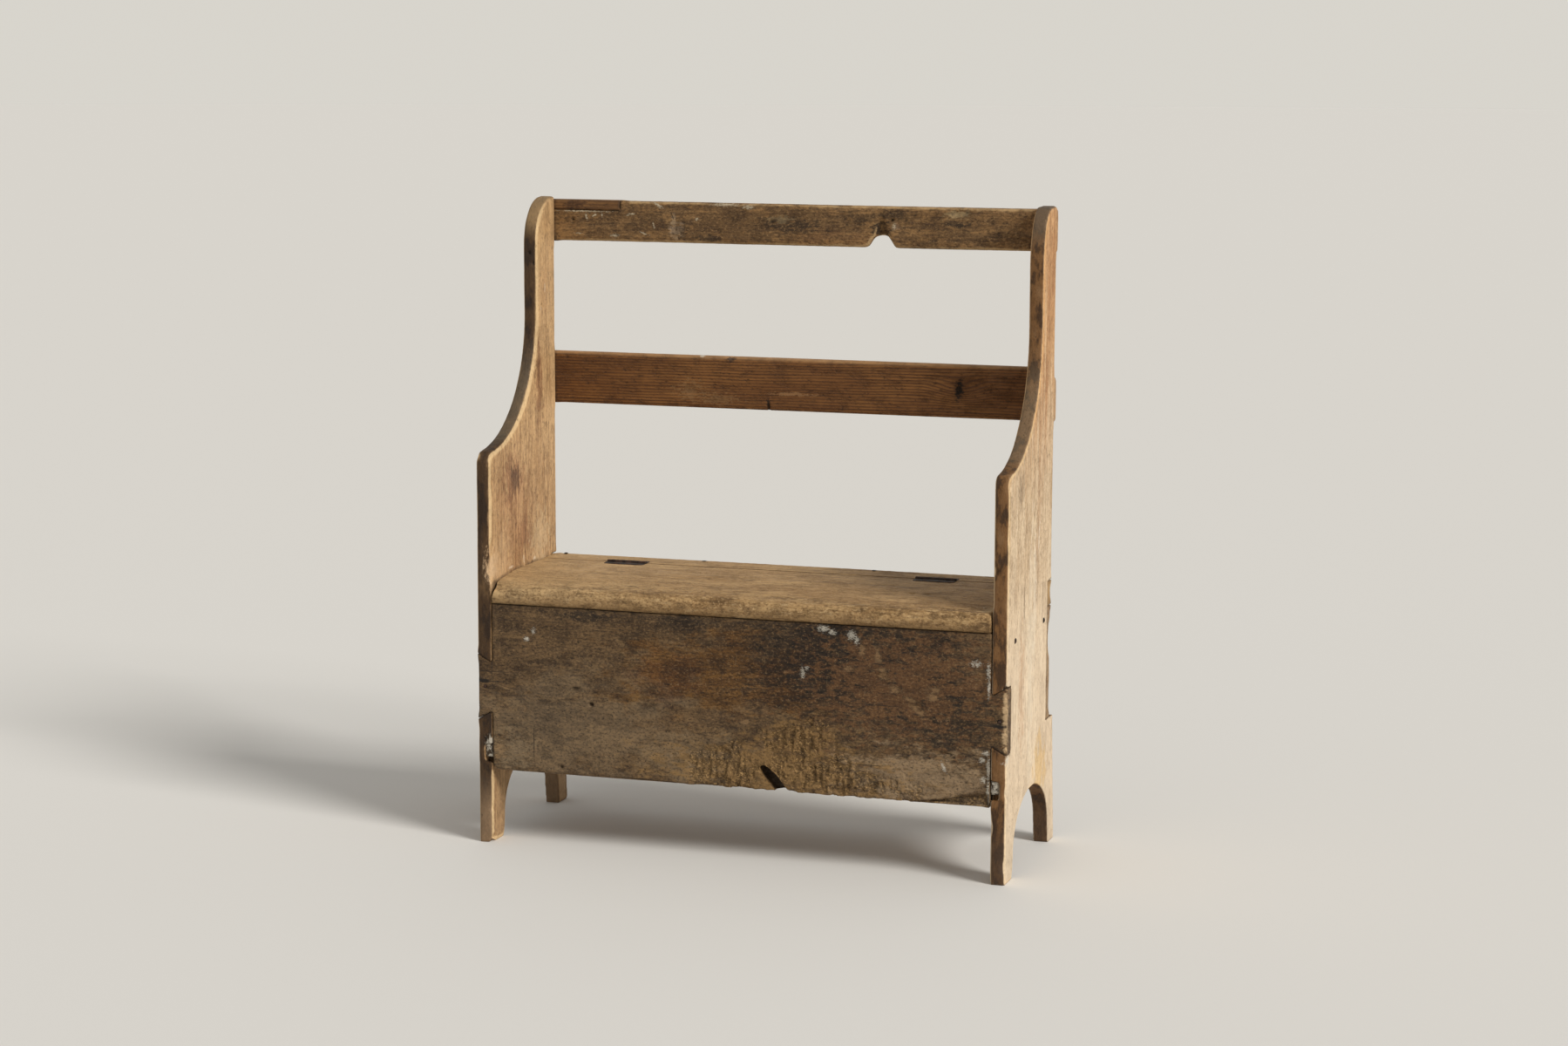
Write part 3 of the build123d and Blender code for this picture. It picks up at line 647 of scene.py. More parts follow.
class Pine:
    """The finish of one board: growth rings and fibres along its grain, under coats of age and wear."""

    def __init__(self, name, grain, face):
        """Grain names the axes along, across and through the board; face is where its marked face is."""
        self.material, place = new_material(name)
        parts = place.node("ShaderNodeSeparateXYZ", {}, {"Vector": place}).output.node.outputs
        self.along, self.across, self.through = (Socket(parts[axis]) for axis in grain)
        self.place = place.node("ShaderNodeCombineXYZ", {}, {0: self.along, 1: self.across, 2: self.through})
        self.face = face

    def moved(self, middle, scale, turn=(0, 0, 0)):
        """Grain coordinates around another middle, turned and divided by a scale."""
        sockets = {"Vector": self.place, "Location": middle, "Rotation": turn, "Scale": scale}
        return self.place.node("ShaderNodeMapping", {"vector_type": "TEXTURE"}, sockets)

    def length(self, local):
        """How long a vector is."""
        return local.node("ShaderNodeVectorMath", {"operation": "LENGTH"}, {0: local}, output="Value")

    def far(self, middle, scale, turn=0.0):
        """The distance from a middle, as a share of the scale on each axis, turned in the marked face."""
        local = self.place
        if turn:
            sockets = {"Vector": local, "Center": middle, "Angle": -turn}
            local = local.node("ShaderNodeVectorRotate", {"rotation_type": "Z_AXIS"}, sockets)
        share = [1 / part for part in scale]
        start = [-part * times for part, times in zip(middle, share)]
        sockets = {0: local, 1: share, 2: start}
        return self.length(local.node("ShaderNodeVectorMath", {"operation": "MULTIPLY_ADD"}, sockets))

    def cloud(self, long, wide, seed, detail=3.0, rough=0.5, turn=0.0):
        """Noise from 0 to 1, in patches of one length along the grain and another across it."""
        local = self.moved((seed, seed, seed), (long, wide, wide), (0, 0, turn))
        sockets = {"Vector": local, "Scale": 1.0, "Detail": detail, "Roughness": rough}
        return local.node("ShaderNodeTexNoise", {}, sockets)

    def mark(self, name):
        """A number that was stored on the net, such as its wear."""
        return self.place.node("ShaderNodeAttribute", {"attribute_name": name}, {}, output="Fac")

    def coat(self, mask, colour):
        """Lays a screen colour over the board where a mask is."""
        self.tint = blend(mask, self.tint, tone(*colour))

    def stain(self, mask, colour):
        """Tints the board where a mask is: its plain tone becomes this colour, and its grain still shows."""
        ratio = [wanted / plain for wanted, plain in zip(tone(*colour), tone(*self.plain))]
        self.tint = blend(mask, self.tint, ratio, "MULTIPLY")

    def press(self, mask, deep):
        """Presses the surface in where a mask is."""
        self.height = self.height - deep * mask

    def patches(self, table, grit, ragged, seed=7):
        """One mask for a table of patches on the marked face, torn by noise that is as fine as its grit.

        A patch is its place and half lengths along and across the grain, and a turn if it has one."""
        nearest = None
        for along, across, long, wide, *turn in table:
            apart = self.far((along / MM, across / MM, self.face), (long / MM, wide / MM, FACE_DEPTH), *turn)
            nearest = nearest.math("MINIMUM", nearest, apart) if nearest else apart
        torn = self.cloud(2.2 * grit / MM, grit / MM, seed, 7.0, 0.7)
        return ease(ragged * (torn - 0.5) - nearest, -0.95, -0.35)

    def patch(self, along, across, long, wide, grit=PLAIN_GRIT, ragged=2.6):
        """A mask for one patch, with noise of its own."""
        return self.patches(((along, across, long, wide),), grit, ragged, 7 + along / MM + across / MM)

    def spots(self, table):
        """Lays a table of patches: a darker colour soaks into the grain, and a paler one lies on it."""
        for *place, strength, colour in table:
            mask = self.patch(*place) * strength
            darker = sum(tone(*colour)) < sum(tone(*self.plain))
            (self.stain if darker else self.coat)(mask, colour)

    def rings(self, heart, ring, lean, wobble, tones, strength, swirls=(), streak=1.0, mottle=0.5):
        """Draws rings around the pith, which leans out of the board, with fibres, blotches and pits over them."""
        pale, plain, dark, deep = tones
        self.plain = plain
        radius = self.length(self.moved((0, *heart), (OUT_OF_PLAY, 1, 1), (0, *lean)))
        radius = radius + wobble * (self.cloud(0.3, 0.06, 1, 2.0) - 0.5)
        radius = radius + 0.2 * wobble * self.cloud(0.06, 0.014, 2)
        for along, across, size in np.divide(swirls, MM).tolist():
            apart = self.far((along, across, self.face), (2.2 * size, size, 3 * FACE_DEPTH))
            radius = radius + 1.1 * size * ease(apart, 2.6, 0.0)
        turns = radius / ring
        phase = turns.math("FRACT", turns)
        late = ease(phase, 0.3, 0.88) * ease(phase, 1.0, 0.92)
        fibre = self.cloud(0.1, 0.0016, 3, 4.0, 0.62)
        strand = self.cloud(0.16, 0.006, 4, 4.0, 0.6)
        blotch = self.cloud(0.16, 0.055, 5, 5.0, 0.62)
        speck = self.cloud(0.012, 0.0048, 6, 5.0, 0.7)
        bloom = self.cloud(0.036, 0.02, 9, 9.0, 0.74)
        self.tint = blend(ease(blotch, 0.36, 0.64), tone(*pale), tone(*plain))
        self.coat(ease(strand, 0.46, 0.66) * (0.55 * streak), dark)
        self.coat(late * (strength * (0.35 + 1.1 * strand)), dark)
        self.coat(ease(fibre, 0.5, 0.68) * (0.55 * streak), dark)
        self.coat(ease(fibre, 0.46, 0.32) * (0.5 * streak), pale)
        self.coat(ease(bloom, 0.5, 0.68) * (0.8 * mottle), dark)
        self.coat(ease(bloom, 0.46, 0.3) * (0.6 * mottle), pale)
        self.coat(ease(speck, 0.56, 0.68) * 0.65, deep)
        self.coat(ease(speck, 0.42, 0.3) * 0.55, pale)
        self.rough = 0.7 - 0.12 * late + 0.22 * (speck - 0.5)
        self.height = 0.0002 * strength * late + 0.0004 * streak * fibre + 0.0003 * strand
        self.press(ease(speck, 0.54, 0.72), 0.0006)
        self.press(ease(bloom, 0.48, 0.7), 0.0016 * mottle)

    def checks(self, seed, long=0.2, wide=0.003, share=0.71):
        """Fine drying cracks along the grain."""
        crack = ease(self.cloud(long, wide, seed, 2.0), share, share + 0.03)
        self.coat(crack * 0.8, DIRT_AND_SHADE_TONE)
        self.press(crack, CRACK_DEPTH)

    def worm_holes(self, spacing, radius, share, seed):
        """Small round flight holes, in a share of the cells of a cell pattern."""
        local = self.moved((seed, seed, seed), (spacing, spacing, spacing))
        cells = local.node("ShaderNodeTexVoronoi", {}, {"Vector": local, "Scale": 1.0}).output.node.outputs
        near = ease(Socket(cells["Distance"]), radius / spacing, 0.6 * radius / spacing)
        hole = near * ease(Socket(cells["Color"]), share + 0.02, share)
        self.coat(hole * 0.9, DIRT_AND_SHADE_TONE)
        self.press(hole, HOLE_DEPTH)

    def scratches(self, seed, turn, colour, share=0.72, long=0.05, wide=0.0022):
        """Scratches at a slant to the grain."""
        scratch = ease(self.cloud(long, wide, seed, 2.0, turn=turn), share, share + 0.05)
        self.coat(scratch * 0.6, colour)
        self.press(scratch, SCRATCH_DEPTH)

    def grit(self, share, dark, pale, seed):
        """Fine pits and crumbs over a share of the surface."""
        fine = self.cloud(0.0052, 0.0036, seed, 6.0, 0.75)
        pit = ease(fine, 0.52, 0.64)
        self.coat(share * pit, dark)
        self.coat(share * ease(fine, 0.47, 0.36), pale)
        self.press(share * pit, GRIT_DEPTH)

    def age(self, arris_tone, dirt=0.8, rub=0.45, bright=0.7):
        """Rubbed arrises, dirt in hollows, dirt and painted shade along joints, thicker in some stretches than in
        others, and painted shade in the deepest worm grooves.
        """
        speck = self.cloud(0.016, 0.008, 8, 5.0, 0.68)
        stretch = ease(self.cloud(0.09, 0.09, 10, 2.0), 0.4, 0.6)
        self.coat(ease(self.mark("wear") + 1.2 * (speck - 0.5), rub, rub + 0.6) * bright, arris_tone)
        # Dirt and painted shade along the joints.
        self.coat(ease(self.mark("grime_and_shade") + 0.6 * (speck - 0.5), 0.82, 1.15) * (dirt * stretch), DIRT_AND_SHADE_TONE)
        self.coat(ease(self.mark("hollow") + 0.5 * (speck - 0.5), 0.25, 1.0) * dirt, DIRT_AND_SHADE_TONE)
        # Painted shade in the deepest worm grooves.
        self.coat(ease(self.mark("eaten"), 0.3, 1.0) * 0.28, DIRT_AND_SHADE_TONE)

    def finish(self, *pieces):
        """Joins the coats to a shader and puts it on the pieces."""
        sockets = {"Height": self.height, "Distance": 1.0}
        bump = self.height.node("ShaderNodeBump", {}, sockets, output="Normal")
        sockets = {"Base Color": self.tint, "Roughness": self.rough, "Normal": bump,
                   "Specular IOR Level": DULL_SHEEN}
        wood = self.tint.node("ShaderNodeBsdfPrincipled", {}, sockets)
        wood.node("ShaderNodeOutputMaterial", {}, {"Surface": wood})
        for piece in pieces:
            piece.data.materials.append(self.material)
        print(self.material.name, "has", len(self.material.node_tree.nodes), "nodes")


# %% [markdown]
# ## The seat's finish
# The seat is scrubbed and rubbed pine, honey coloured, with streaks along the grain, a swirl where a branch was,
# short black cracks, and pale and dark blotches where the nose was knocked.

# %% Finish the lid and the strip
SEAT_TONES = ((190, 155, 107), (163, 128, 83), (128, 96, 57), (90, 65, 38))
SEAT_CRACKS = (
    (-189, -131, 18), (-255, -61, 20), (268, -72, 14), (293, -72, 12), (-395, 20, 20), (105, -20, 12),
    (-20, -45, 16), (180, 30, 22),
)
CRACK_WIDTH = 2.2
SEAT_SWIRLS = ((55, -122, 22),)
SEAT_TOP = 0.446
LID_BACK = 0.061
seat = Pine("scrubbed_seat_pine", "XYZ", SEAT_TOP)
seat.rings((-0.02, 0.38), 0.0064, (0.03, 0.015), 0.03, SEAT_TONES, 0.45, SEAT_SWIRLS, 0.9, 0.8)
seat.coat(ease(seat.along, -0.05, -0.42) * 0.5, (200, 167, 121))
nose = ease(seat.across, -0.12, -0.168)
seat.stain(nose * ease(seat.cloud(0.06, 0.016, 11, 7.0, 0.7), 0.47, 0.62) * 0.8, (112, 84, 50))
seat.coat(nose * ease(seat.cloud(0.03, 0.01, 12, 7.0, 0.7), 0.55, 0.66) * 0.6, (204, 172, 126))
seat.grit(0.3 + 0.3 * nose, (104, 76, 44), (204, 172, 126), 18)
# The lid's underside and the lower round of its nose are darkened: painted shade under the nose.
seat.coat(ease(seat.through, 0.424, 0.408) * 0.55, (104, 76, 42))
seat.coat(seat.patch(415, -150, 20, 35) * 0.7, (204, 176, 134))
cracks = seat.patches([(*crack, CRACK_WIDTH) for crack in SEAT_CRACKS], 2, 1.6)
seat.coat(cracks, DIRT_AND_SHADE_TONE)
seat.press(cracks, 0.0015)
seat.checks(14)
seat.scratches(15, 0.5, (206, 178, 138))
seat.worm_holes(0.03, 0.0011, 0.42, 17)
seat.age((196, 164, 120), 0.6)
# A dark line along the lid's back edge: painted shade of the gap between lid and strip.
beside = seat.across - LID_BACK
joint_gap_shade = ease(beside, -0.0055, -0.0015) * ease(beside, 0.003, 0.001) * ease(seat.through, 0.437, 0.443)
seat.coat(joint_gap_shade * ease(seat.cloud(0.05, 0.02, 19, 3.0), 0.34, 0.5) * 0.9, (52, 36, 20))
seat.finish(lid, strip)

# %% [markdown]
# ## The front panel's finish
# The front is grey-brown with orange, rust-red and black patches where polish, soot and hands have built up, and a
# painted shadow lies along its top under the seat's nose. It is yellow where worms have opened fresh wood, with
# painted shade between the crumbs there and painted highlights on their tops, scratched pale where it was knocked,
# and keeps crumbs of white plaster.

# %% Finish the front panel
FRONT_TONES = ((119, 93, 62), (92, 69, 42), (64, 45, 26), (36, 26, 16))
SOOT_AND_SHADOW = (34, 24, 14)
FRONT_FACE = -0.167
FRONT_SWIRLS = ((-70, 165, 50),)
FRONT_STAINS = (
    (-300, 200, 240, 120, 30, 2.6, 0.5, (132, 111, 84)),
    (-80, 170, 130, 55, 20, 2.6, 0.6, (134, 112, 83)),
    (-20, 315, 220, 95, 30, 3.2, 0.9, (93, 61, 23)),
    (-110, 300, 80, 50, 16, 3.2, 0.4, (86, 56, 35)),
    (220, 325, 280, 120, 30, 2.6, 0.6, (78, 54, 31)),
    (110, 340, 120, 75, 14, 4.2, 0.65, SOOT_AND_SHADOW),
    (235, 325, 190, 95, 11, 5.0, 0.55, SOOT_AND_SHADOW),
    (355, 255, 95, 80, 11, 4.6, 0.65, SOOT_AND_SHADOW),
    (230, 310, 230, 110, 5, 5.6, 0.5, SOOT_AND_SHADOW),
    (180, 390, 200, 30, 8, 4.6, 0.6, SOOT_AND_SHADOW),
    (280, 310, 190, 110, 9, 5.6, 0.6, (112, 76, 43)),
    (-250, 392, 70, 12, 7, 3.6, 0.75, SOOT_AND_SHADOW),
    (-90, 385, 55, 26, 9, 3.6, 0.6, SOOT_AND_SHADOW),
    # The long thin band along the panel's top edge is a painted shadow under the seat's nose.
    (-20, 396, 400, 12, 10, 3.6, 0.4, SOOT_AND_SHADOW),
    (310, 165, 170, 55, 14, 3.4, 0.75, (158, 133, 102)),
    (60, 155, 250, 60, 12, 3.6, 0.75, (144, 111, 66)),
    (110, 214, 90, 42, 10, 3.6, 0.7, (136, 103, 58)),
    (-330, 225, 70, 70, 10, 4.2, 0.45, (64, 48, 30)),
    (-395, 160, 50, 40, 8, 4.2, 0.5, (142, 122, 94)),
)
FRONT_SCARS = (
    (-198, 353, 16, 6, -0.5), (300, 278, 30, 9, -0.75), (246, 328, 10, 14, 0.4), (268, 303, 14, 8, -0.6),
    (212, 364, 7, 18, 0.1), (238, 358, 8, 20, 0.2), (192, 334, 14, 7, 0.1), (345, 190, 10, 24, 0.4),
    (330, 300, 12, 16, -0.4), (-366, 230, 4, 9), (-276, 318, 12, 10, 0.3), (20, 236, 16, 8, 0.2),
    (-398, 264, 30, 2.6, -0.26), (-410, 158, 20, 22),
)
FRONT_CRACKS = ((-350, 176, 1.6, 44), (-424, 300, 1.2, 40), (20, 290, 50, 1.4, 0.1))
FRONT_PLASTER = (
    (-362, 348, 6, 5), (-350, 362, 5, 6), (148, 396, 12, 6), (162, 391, 8, 5), (194, 388, 9, 9), (203, 380, 6, 7),
    (113, 322, 5, 11), (120, 330, 4, 4), (399, 354, 10, 6), (419, 342, 4, 16), (420, 316, 3, 18), (416, 212, 8, 5),
    (420, 188, 4, 20), (410, 200, 6, 5), (420, 150, 3, 26), (348, 184, 4, 10, 0.4), (412, 168, 5, 7),
)
NAIL_SLITS = ((-438, 273.5), (438, 256.2))
panel = Pine("worn_front_pine", "XZY", FRONT_FACE)
panel.rings((0.2, -0.1), 0.0058, (0.05, 0.04), 0.055, FRONT_TONES, 0.45, FRONT_SWIRLS, 0.7, 1.2)
panel.spots(FRONT_STAINS)
panel.grit(0.6, (42, 30, 18), (140, 112, 78), 28)
opened = ease(panel.mark("eaten"), 0.02, 0.3)
crumb = panel.cloud(0.0042, 0.0034, 29, 3.0, 0.6)
# Where worms opened the face, the crumbs' hollows get painted shade, and their tops get pale fresh wood with a
# painted highlight.
panel.coat(opened * ease(crumb, 0.46, 0.6) * 0.15, (74, 52, 28))
panel.coat(opened * ease(crumb, 0.48, 0.36) * 0.6, (186, 148, 96))
panel.press(opened * ease(crumb, 0.4, 0.6), 0.0018)
scars = panel.patches(FRONT_SCARS, 6, 4.0)
panel.coat(scars * 0.5, (150, 119, 82))
panel.press(scars, 0.0012)
panel.checks(24, share=0.73)
panel.coat(panel.patches(FRONT_CRACKS, 3, 2.0) * 0.7, DIRT_AND_SHADE_TONE)
panel.scratches(25, 0.5, (146, 118, 84), 0.76)
panel.scratches(26, 1.5, (138, 112, 80), 0.7, 0.03, 0.0018)
panel.worm_holes(0.022, 0.0012, 0.45, 27)
panel.age((146, 118, 82), 0.6, bright=0.5)

# %% Paint shade into the gouge, blacken the nail slits and leave the plaster
GOUGE_MIDDLE = (0.064, 0.142, -0.155)
GOUGE_REACH = (0.05, 0.05, 0.05)
# The gouge's inside is darkened: painted shade in the hole.
inside = ease(panel.far(GOUGE_MIDDLE, GOUGE_REACH), 1.0, 0.8)
panel.coat(inside * ease(panel.through, -0.164, -0.148) * 0.9, (42, 29, 17))
panel.coat(panel.patch(447, 266, 7, 70, 6, 2.4) * 0.8, (206, 174, 132))
for along, across in NAIL_SLITS:
    panel.coat(panel.patch(along, across, 19, 5, 3, 1.2) * 0.95, (24, 18, 13))
    panel.coat(panel.patch(0.95 * along, across, 22, 1.4, 2, 2.4) * 0.8, DIRT_AND_SHADE_TONE)
crumbs = panel.patches(FRONT_PLASTER, 1.8, 4.6)
panel.coat(crumbs * 0.8, PLASTER_TONE)
panel.press(crumbs, -0.0008)
panel.finish(front)

# %% [markdown]
# ## The end boards' finish
# The faces are dry and pale, most of all outside, where daylight has bleached them. The front edges are dark and
# smooth from hands, with the pale wood rubbed through on the arrises and a painted highlight beside them, and dust
# lies grey on the coves.

# %% What both end boards share
def end_finish(name, face, heart, lean, tones, edge, foot, crown):
    """An end board's finish up to its own marks, with the tones of its edges, feet and crown."""
    board = Pine(name, "ZYX", face)
    board.rings(heart, 0.0062, lean, 0.04, tones, 0.4, streak=1.2, mottle=0.6)
    board.grit(0.35, tones[3], tones[0], 38)
    rim = board.mark("rim")
    worn = board.cloud(0.05, 0.02, 33, 6.0, 0.66)
    board.coat(rim * (0.8 + 0.35 * worn), edge)
    board.coat(rim * ease(worn, 0.48, 0.6) * 0.75, (42, 28, 16))
    board.coat(rim * ease(worn, 0.42, 0.3) * 0.25, (140, 106, 68))
    board.coat(rim * ease(board.along, 0.655, 0.675) * ease(board.along, 0.84, 0.74) * 0.5, (118, 102, 80))
    board.coat(rim * ease(board.along, 0.985, 1.03) * 0.7, crown)
    floorward = ease(board.along, 0.13, 0.04) * (0.3 + 0.7 * rim)
    board.coat(floorward * (0.5 + 0.5 * board.cloud(0.05, 0.02, 34, 5.0, 0.65)), foot)
    # Pale rubbed wood beside the front arrises, partly a painted highlight.
    rubbed = ease(board.mark("wear") + 0.5 * (worn - 0.5), 0.2, 0.55) * ease(rim, 0.8, 0.4)
    board.coat(rubbed * ease(board.across, 0.09, 0.06) * 0.7, (226, 194, 146))
    board.checks(35)
    board.worm_holes(0.026, 0.0011, 0.43, 36)
    return board


# %% Finish the left end board
LEFT_FACE = -0.424
LEFT_TONES = ((206, 168, 121), (178, 140, 97), (140, 104, 67), (100, 73, 46))
LEFT_STAINS = (
    (600, -75, 60, 50, 10, 4.2, 0.55, (122, 82, 54)),
    (598, -58, 30, 26, 7, 4.0, 0.65, (76, 50, 34)),
    (540, -60, 130, 80, 14, 3.6, 0.45, (158, 112, 74)),
    (740, 50, 80, 22, 8, 3.8, 0.6, (128, 84, 54)),
    (780, 50, 50, 10, 6, 3.8, 0.6, (108, 70, 44)),
    (900, 75, 60, 18, 8, 3.0, 0.4, (154, 112, 72)),
    (480, 50, 60, 50, 6, 4.0, 0.5, (206, 178, 138)),
    (470, -120, 60, 50, 8, 4.0, 0.45, (200, 166, 126)),
    (500, -20, 40, 40, 10, 4.0, 0.45, (146, 102, 68)),
)
LEFT_CRUMBS = ((451, 22, 4, 8), (457, -24, 10, 3), (451, -80, 3, 14), (905, 79, 10, 2), (872, 62, 8, 2))
inner = end_finish("left_end_pine", LEFT_FACE, (0.03, -0.53), (0.02, 0.02), LEFT_TONES, (64, 43, 21),
                   (150, 122, 92), (160, 130, 90))
inner.coat(ease(inner.along, 0.6, 0.84) * (0.2 - 0.2 * inner.mark("rim")), (222, 184, 130))
inner.spots(LEFT_STAINS)
inner.coat(inner.patch(464, -166, 36, 36, 6, 2.6) * 0.8, (208, 174, 134))
inner.coat(inner.patches(LEFT_CRUMBS, 2.4, 3.0) * 0.7, (218, 198, 170))
inner.age((194, 160, 116), rub=0.75, bright=0.45)
crumb = ease(inner.across, -0.15, -0.16) * inner.patch(168, -165, 18, 30, 5, 3.0)
inner.coat(crumb * 0.85, PLASTER_TONE)
inner.finish(left_end)

# %% Finish the right end board
RIGHT_FACE = 0.45
RIGHT_TONES = ((226, 203, 169), (205, 177, 141), (170, 138, 102), (128, 100, 72))
RIGHT_STAINS = (
    (360, -15, 260, 22, 12, 4.0, 0.45, (224, 208, 182)),
    (420, 10, 130, 14, 8, 4.0, 0.4, (228, 214, 190)),
    (140, 60, 70, 60, 14, 3.4, 0.65, (200, 158, 96)),
    (300, -70, 120, 30, 12, 3.6, 0.5, (176, 133, 94)),
    (560, 30, 140, 20, 10, 3.6, 0.45, (172, 131, 94)),
    (700, 60, 160, 40, 12, 3.6, 0.4, (178, 142, 106)),
    (530, 38, 36, 6, 4, 3.0, 0.7, (228, 214, 190)),
    (920, 80, 120, 9, 5, 3.4, 0.45, (166, 124, 84)),
    (960, 106, 100, 12, 6, 3.4, 0.45, (172, 128, 88)),
    (860, 58, 130, 8, 5, 3.4, 0.45, (222, 190, 146)),
    (620, -90, 40, 30, 8, 3.6, 0.55, (126, 101, 74)),
    (440, -60, 50, 7, 4, 3.0, 0.55, (112, 86, 62)),
    (270, 99, 30, 5, 3, 3.0, 0.8, (98, 66, 42)),
)
RIGHT_PLASTER = ((305, -160, 14, 12), (272, -163, 20, 6), (200, -160, 10, 8))
outer = end_finish("right_end_pine", RIGHT_FACE, (-0.03, 0.37), (-0.02, 0.03), RIGHT_TONES, (114, 77, 38),
                   (70, 52, 37), (92, 80, 64))
warmth = ease(outer.along + 0.5 * (outer.cloud(0.2, 0.012, 37, 4.0, 0.6) - 0.5), 0.58, 0.86)
outer.stain(warmth * (0.9 - 0.9 * outer.mark("rim")), (190, 140, 90))
outer.coat(ease(outer.along, 0.56, 0.3) * (0.5 - 0.5 * outer.mark("rim")), (232, 212, 184))
outer.spots(RIGHT_STAINS)
outer.age((208, 176, 132), 0.55, 0.75, 0.45)
outer.coat(outer.patches(RIGHT_PLASTER, 2.4, 3.4) * 0.8, PLASTER_TONE)
outer.finish(right_end)

# %% [markdown]
# ## The rails' finish
# The top rail is dull brown, with grey knots, black smudges and crumbs of plaster. The middle rail is reddish, with
# fine straight rings, one black split knot and a painted highlight along its upper edge.

# %% Finish the top rail
RAIL_FACE = 0.125
RAIL_END = (0.444, 0.45)
TOP_TONES = ((150, 114, 71), (122, 90, 53), (88, 61, 34), (50, 35, 21))
TOP_STAINS = (
    (-300, 1010, 130, 36, 12, 3.6, 0.55, (92, 67, 40)),
    (-193, 1004, 12, 20, 5, 3.4, 0.8, (66, 48, 30)),
    (-206, 1006, 18, 18, 6, 3.0, 0.9, (152, 127, 98)),
    (-209, 1022, 5, 18, 4, 3.0, 0.8, (158, 134, 104)),
    (-204, 988, 4, 14, 4, 3.0, 0.8, (146, 121, 92)),
    (10, 1015, 60, 14, 6, 4.0, 0.75, (58, 43, 27)),
    (-20, 1026, 30, 8, 5, 3.6, 0.65, (150, 130, 94)),
    (282, 1040, 28, 8, 4, 3.8, 0.65, (164, 142, 102)),
    (285, 1024, 34, 8, 5, 3.4, 0.8, (56, 42, 27)),
    (154, 1008, 18, 30, 8, 3.0, 0.9, SOOT_AND_SHADOW),
    (176, 1038, 40, 12, 8, 3.6, 0.7, (50, 36, 21)),
    (120, 1030, 40, 12, 8, 3.6, 0.6, (58, 42, 25)),
    (180, 1019, 6, 8, 4, 3.0, 0.85, (184, 148, 112)),
    (-390, 1046, 50, 10, 8, 3.0, 0.6, (84, 55, 34)),
    (-150, 992, 30, 8, 6, 3.6, 0.7, (62, 46, 29)),
    (80, 1000, 100, 20, 10, 3.6, 0.45, (116, 80, 46)),
    (-80, 1020, 300, 40, 10, 5.0, 0.55, (74, 54, 33)),
    (300, 1010, 120, 40, 10, 5.0, 0.55, (74, 54, 33)),
)
TOP_PLASTER = (
    (-372, 1033.5, 48, 1.6), (-352, 1027, 6, 2, 0.4), (-315, 994, 8, 4), (-286, 1030, 9, 2, 0.2),
    (-236, 1045, 12, 3, -0.5), (-120, 1049, 26, 3.5), (-78, 1046, 12, 4), (-168, 1024, 4, 3, -0.5),
    (176, 1020, 4, 7), (-366, 1024, 2, 6, 0.3), (-338, 1028, 2, 4), (-380, 996, 7, 1.4), (-245, 1012, 1.8, 7, 0.3),
    (-262, 998, 10, 1.8, -0.3),
)
KNOT_CRACKS = (
    (-205, 1006, 3, 4, 0.3), (-212, 1030, 1.2, 16, 0.35), (-200, 990, 1.4, 10, 0.2), (-30, 1024, 8, 4, 0.1),
)
TOP_SWIRLS = ((-206, 1005, 12), (285, 1034, 14))
crest = Pine("rough_rail_pine", "XZY", RAIL_FACE)
crest.rings((0.93, 0.06), 0.006, (0.03, 0.05), 0.034, TOP_TONES, 0.4, TOP_SWIRLS, 0.8, 0.9)
crest.spots(TOP_STAINS)
crest.grit(0.45, (58, 42, 25), (168, 134, 90), 46)
crest.coat(crest.patches(KNOT_CRACKS, 4, 2.6) * 0.75, (60, 44, 29))
crest.checks(43, share=0.73)
crest.worm_holes(0.024, 0.0012, 0.44, 44)
crest.age((184, 151, 106), rub=0.3, bright=0.85)
crumbs = crest.patches(TOP_PLASTER, 2, 4.4)
crest.coat(crumbs * 0.8, (190, 174, 146))
crest.press(crumbs, -0.0004)
crest.coat(ease(crest.along, *RAIL_END) * 0.8, (184, 140, 98))
crest.finish(top_rail)

# %% Finish the patch in the top rail
PATCH_TONES = ((134, 96, 55), (110, 76, 42), (78, 51, 28), (46, 31, 18))
mend = Pine("let_in_patch_pine", "XZY", RAIL_FACE)
mend.rings((0.93, 0.09), 0.005, (0.02, 0.03), 0.02, PATCH_TONES, 0.5)
mend.stain(mend.patch(-385, 1044, 26, 14, 6, 3.6) * 0.8, (62, 38, 20))
mend.age((150, 108, 68), bright=0.4)
mend.finish(patch)

# %% Finish the middle rail
MID_TONES = ((134, 90, 46), (111, 71, 34), (74, 44, 19), (46, 29, 14))
MID_STAINS = (
    (290, 752, 10, 24, 4, 2.6, 0.95, (30, 20, 12)),
    (-180, 735, 30, 20, 3, 6.0, 0.4, (146, 112, 72)),
    (-130, 722, 40, 12, 3, 6.0, 0.4, (146, 112, 72)),
    (-105, 789, 12, 7, 4, 3.0, 0.8, (44, 30, 18)),
    (-41, 716, 4, 14, 3, 2.6, 0.95, (34, 23, 14)),
    (-159, 794, 6, 3, 3, 3.0, 0.9, (206, 196, 176)),
    (0, 735, 50, 4, 4, 3.6, 0.5, (160, 122, 82)),
)
MID_SWIRLS = ((290, 752, 12),)
middle = Pine("straight_rail_pine", "XZY", RAIL_FACE)
middle.rings((0.2, 0.2), 0.005, (0.004, 0.01), 0.01, MID_TONES, 1.0, MID_SWIRLS, 0.7, 0.7)
# A pale band along the rail's upper edge: a painted highlight.
painted_edge_highlight = ease(middle.across, 0.787, 0.794) * (0.5 + 0.5 * middle.cloud(0.03, 0.01, 54, 5.0))
middle.coat(painted_edge_highlight, (172, 132, 90))
middle.spots(MID_STAINS)
middle.checks(53, share=0.74)
middle.age((172, 132, 88), rub=0.35, bright=0.75)
middle.coat(ease(middle.along, *RAIL_END) * 0.8, (188, 150, 110))
middle.finish(mid_rail)
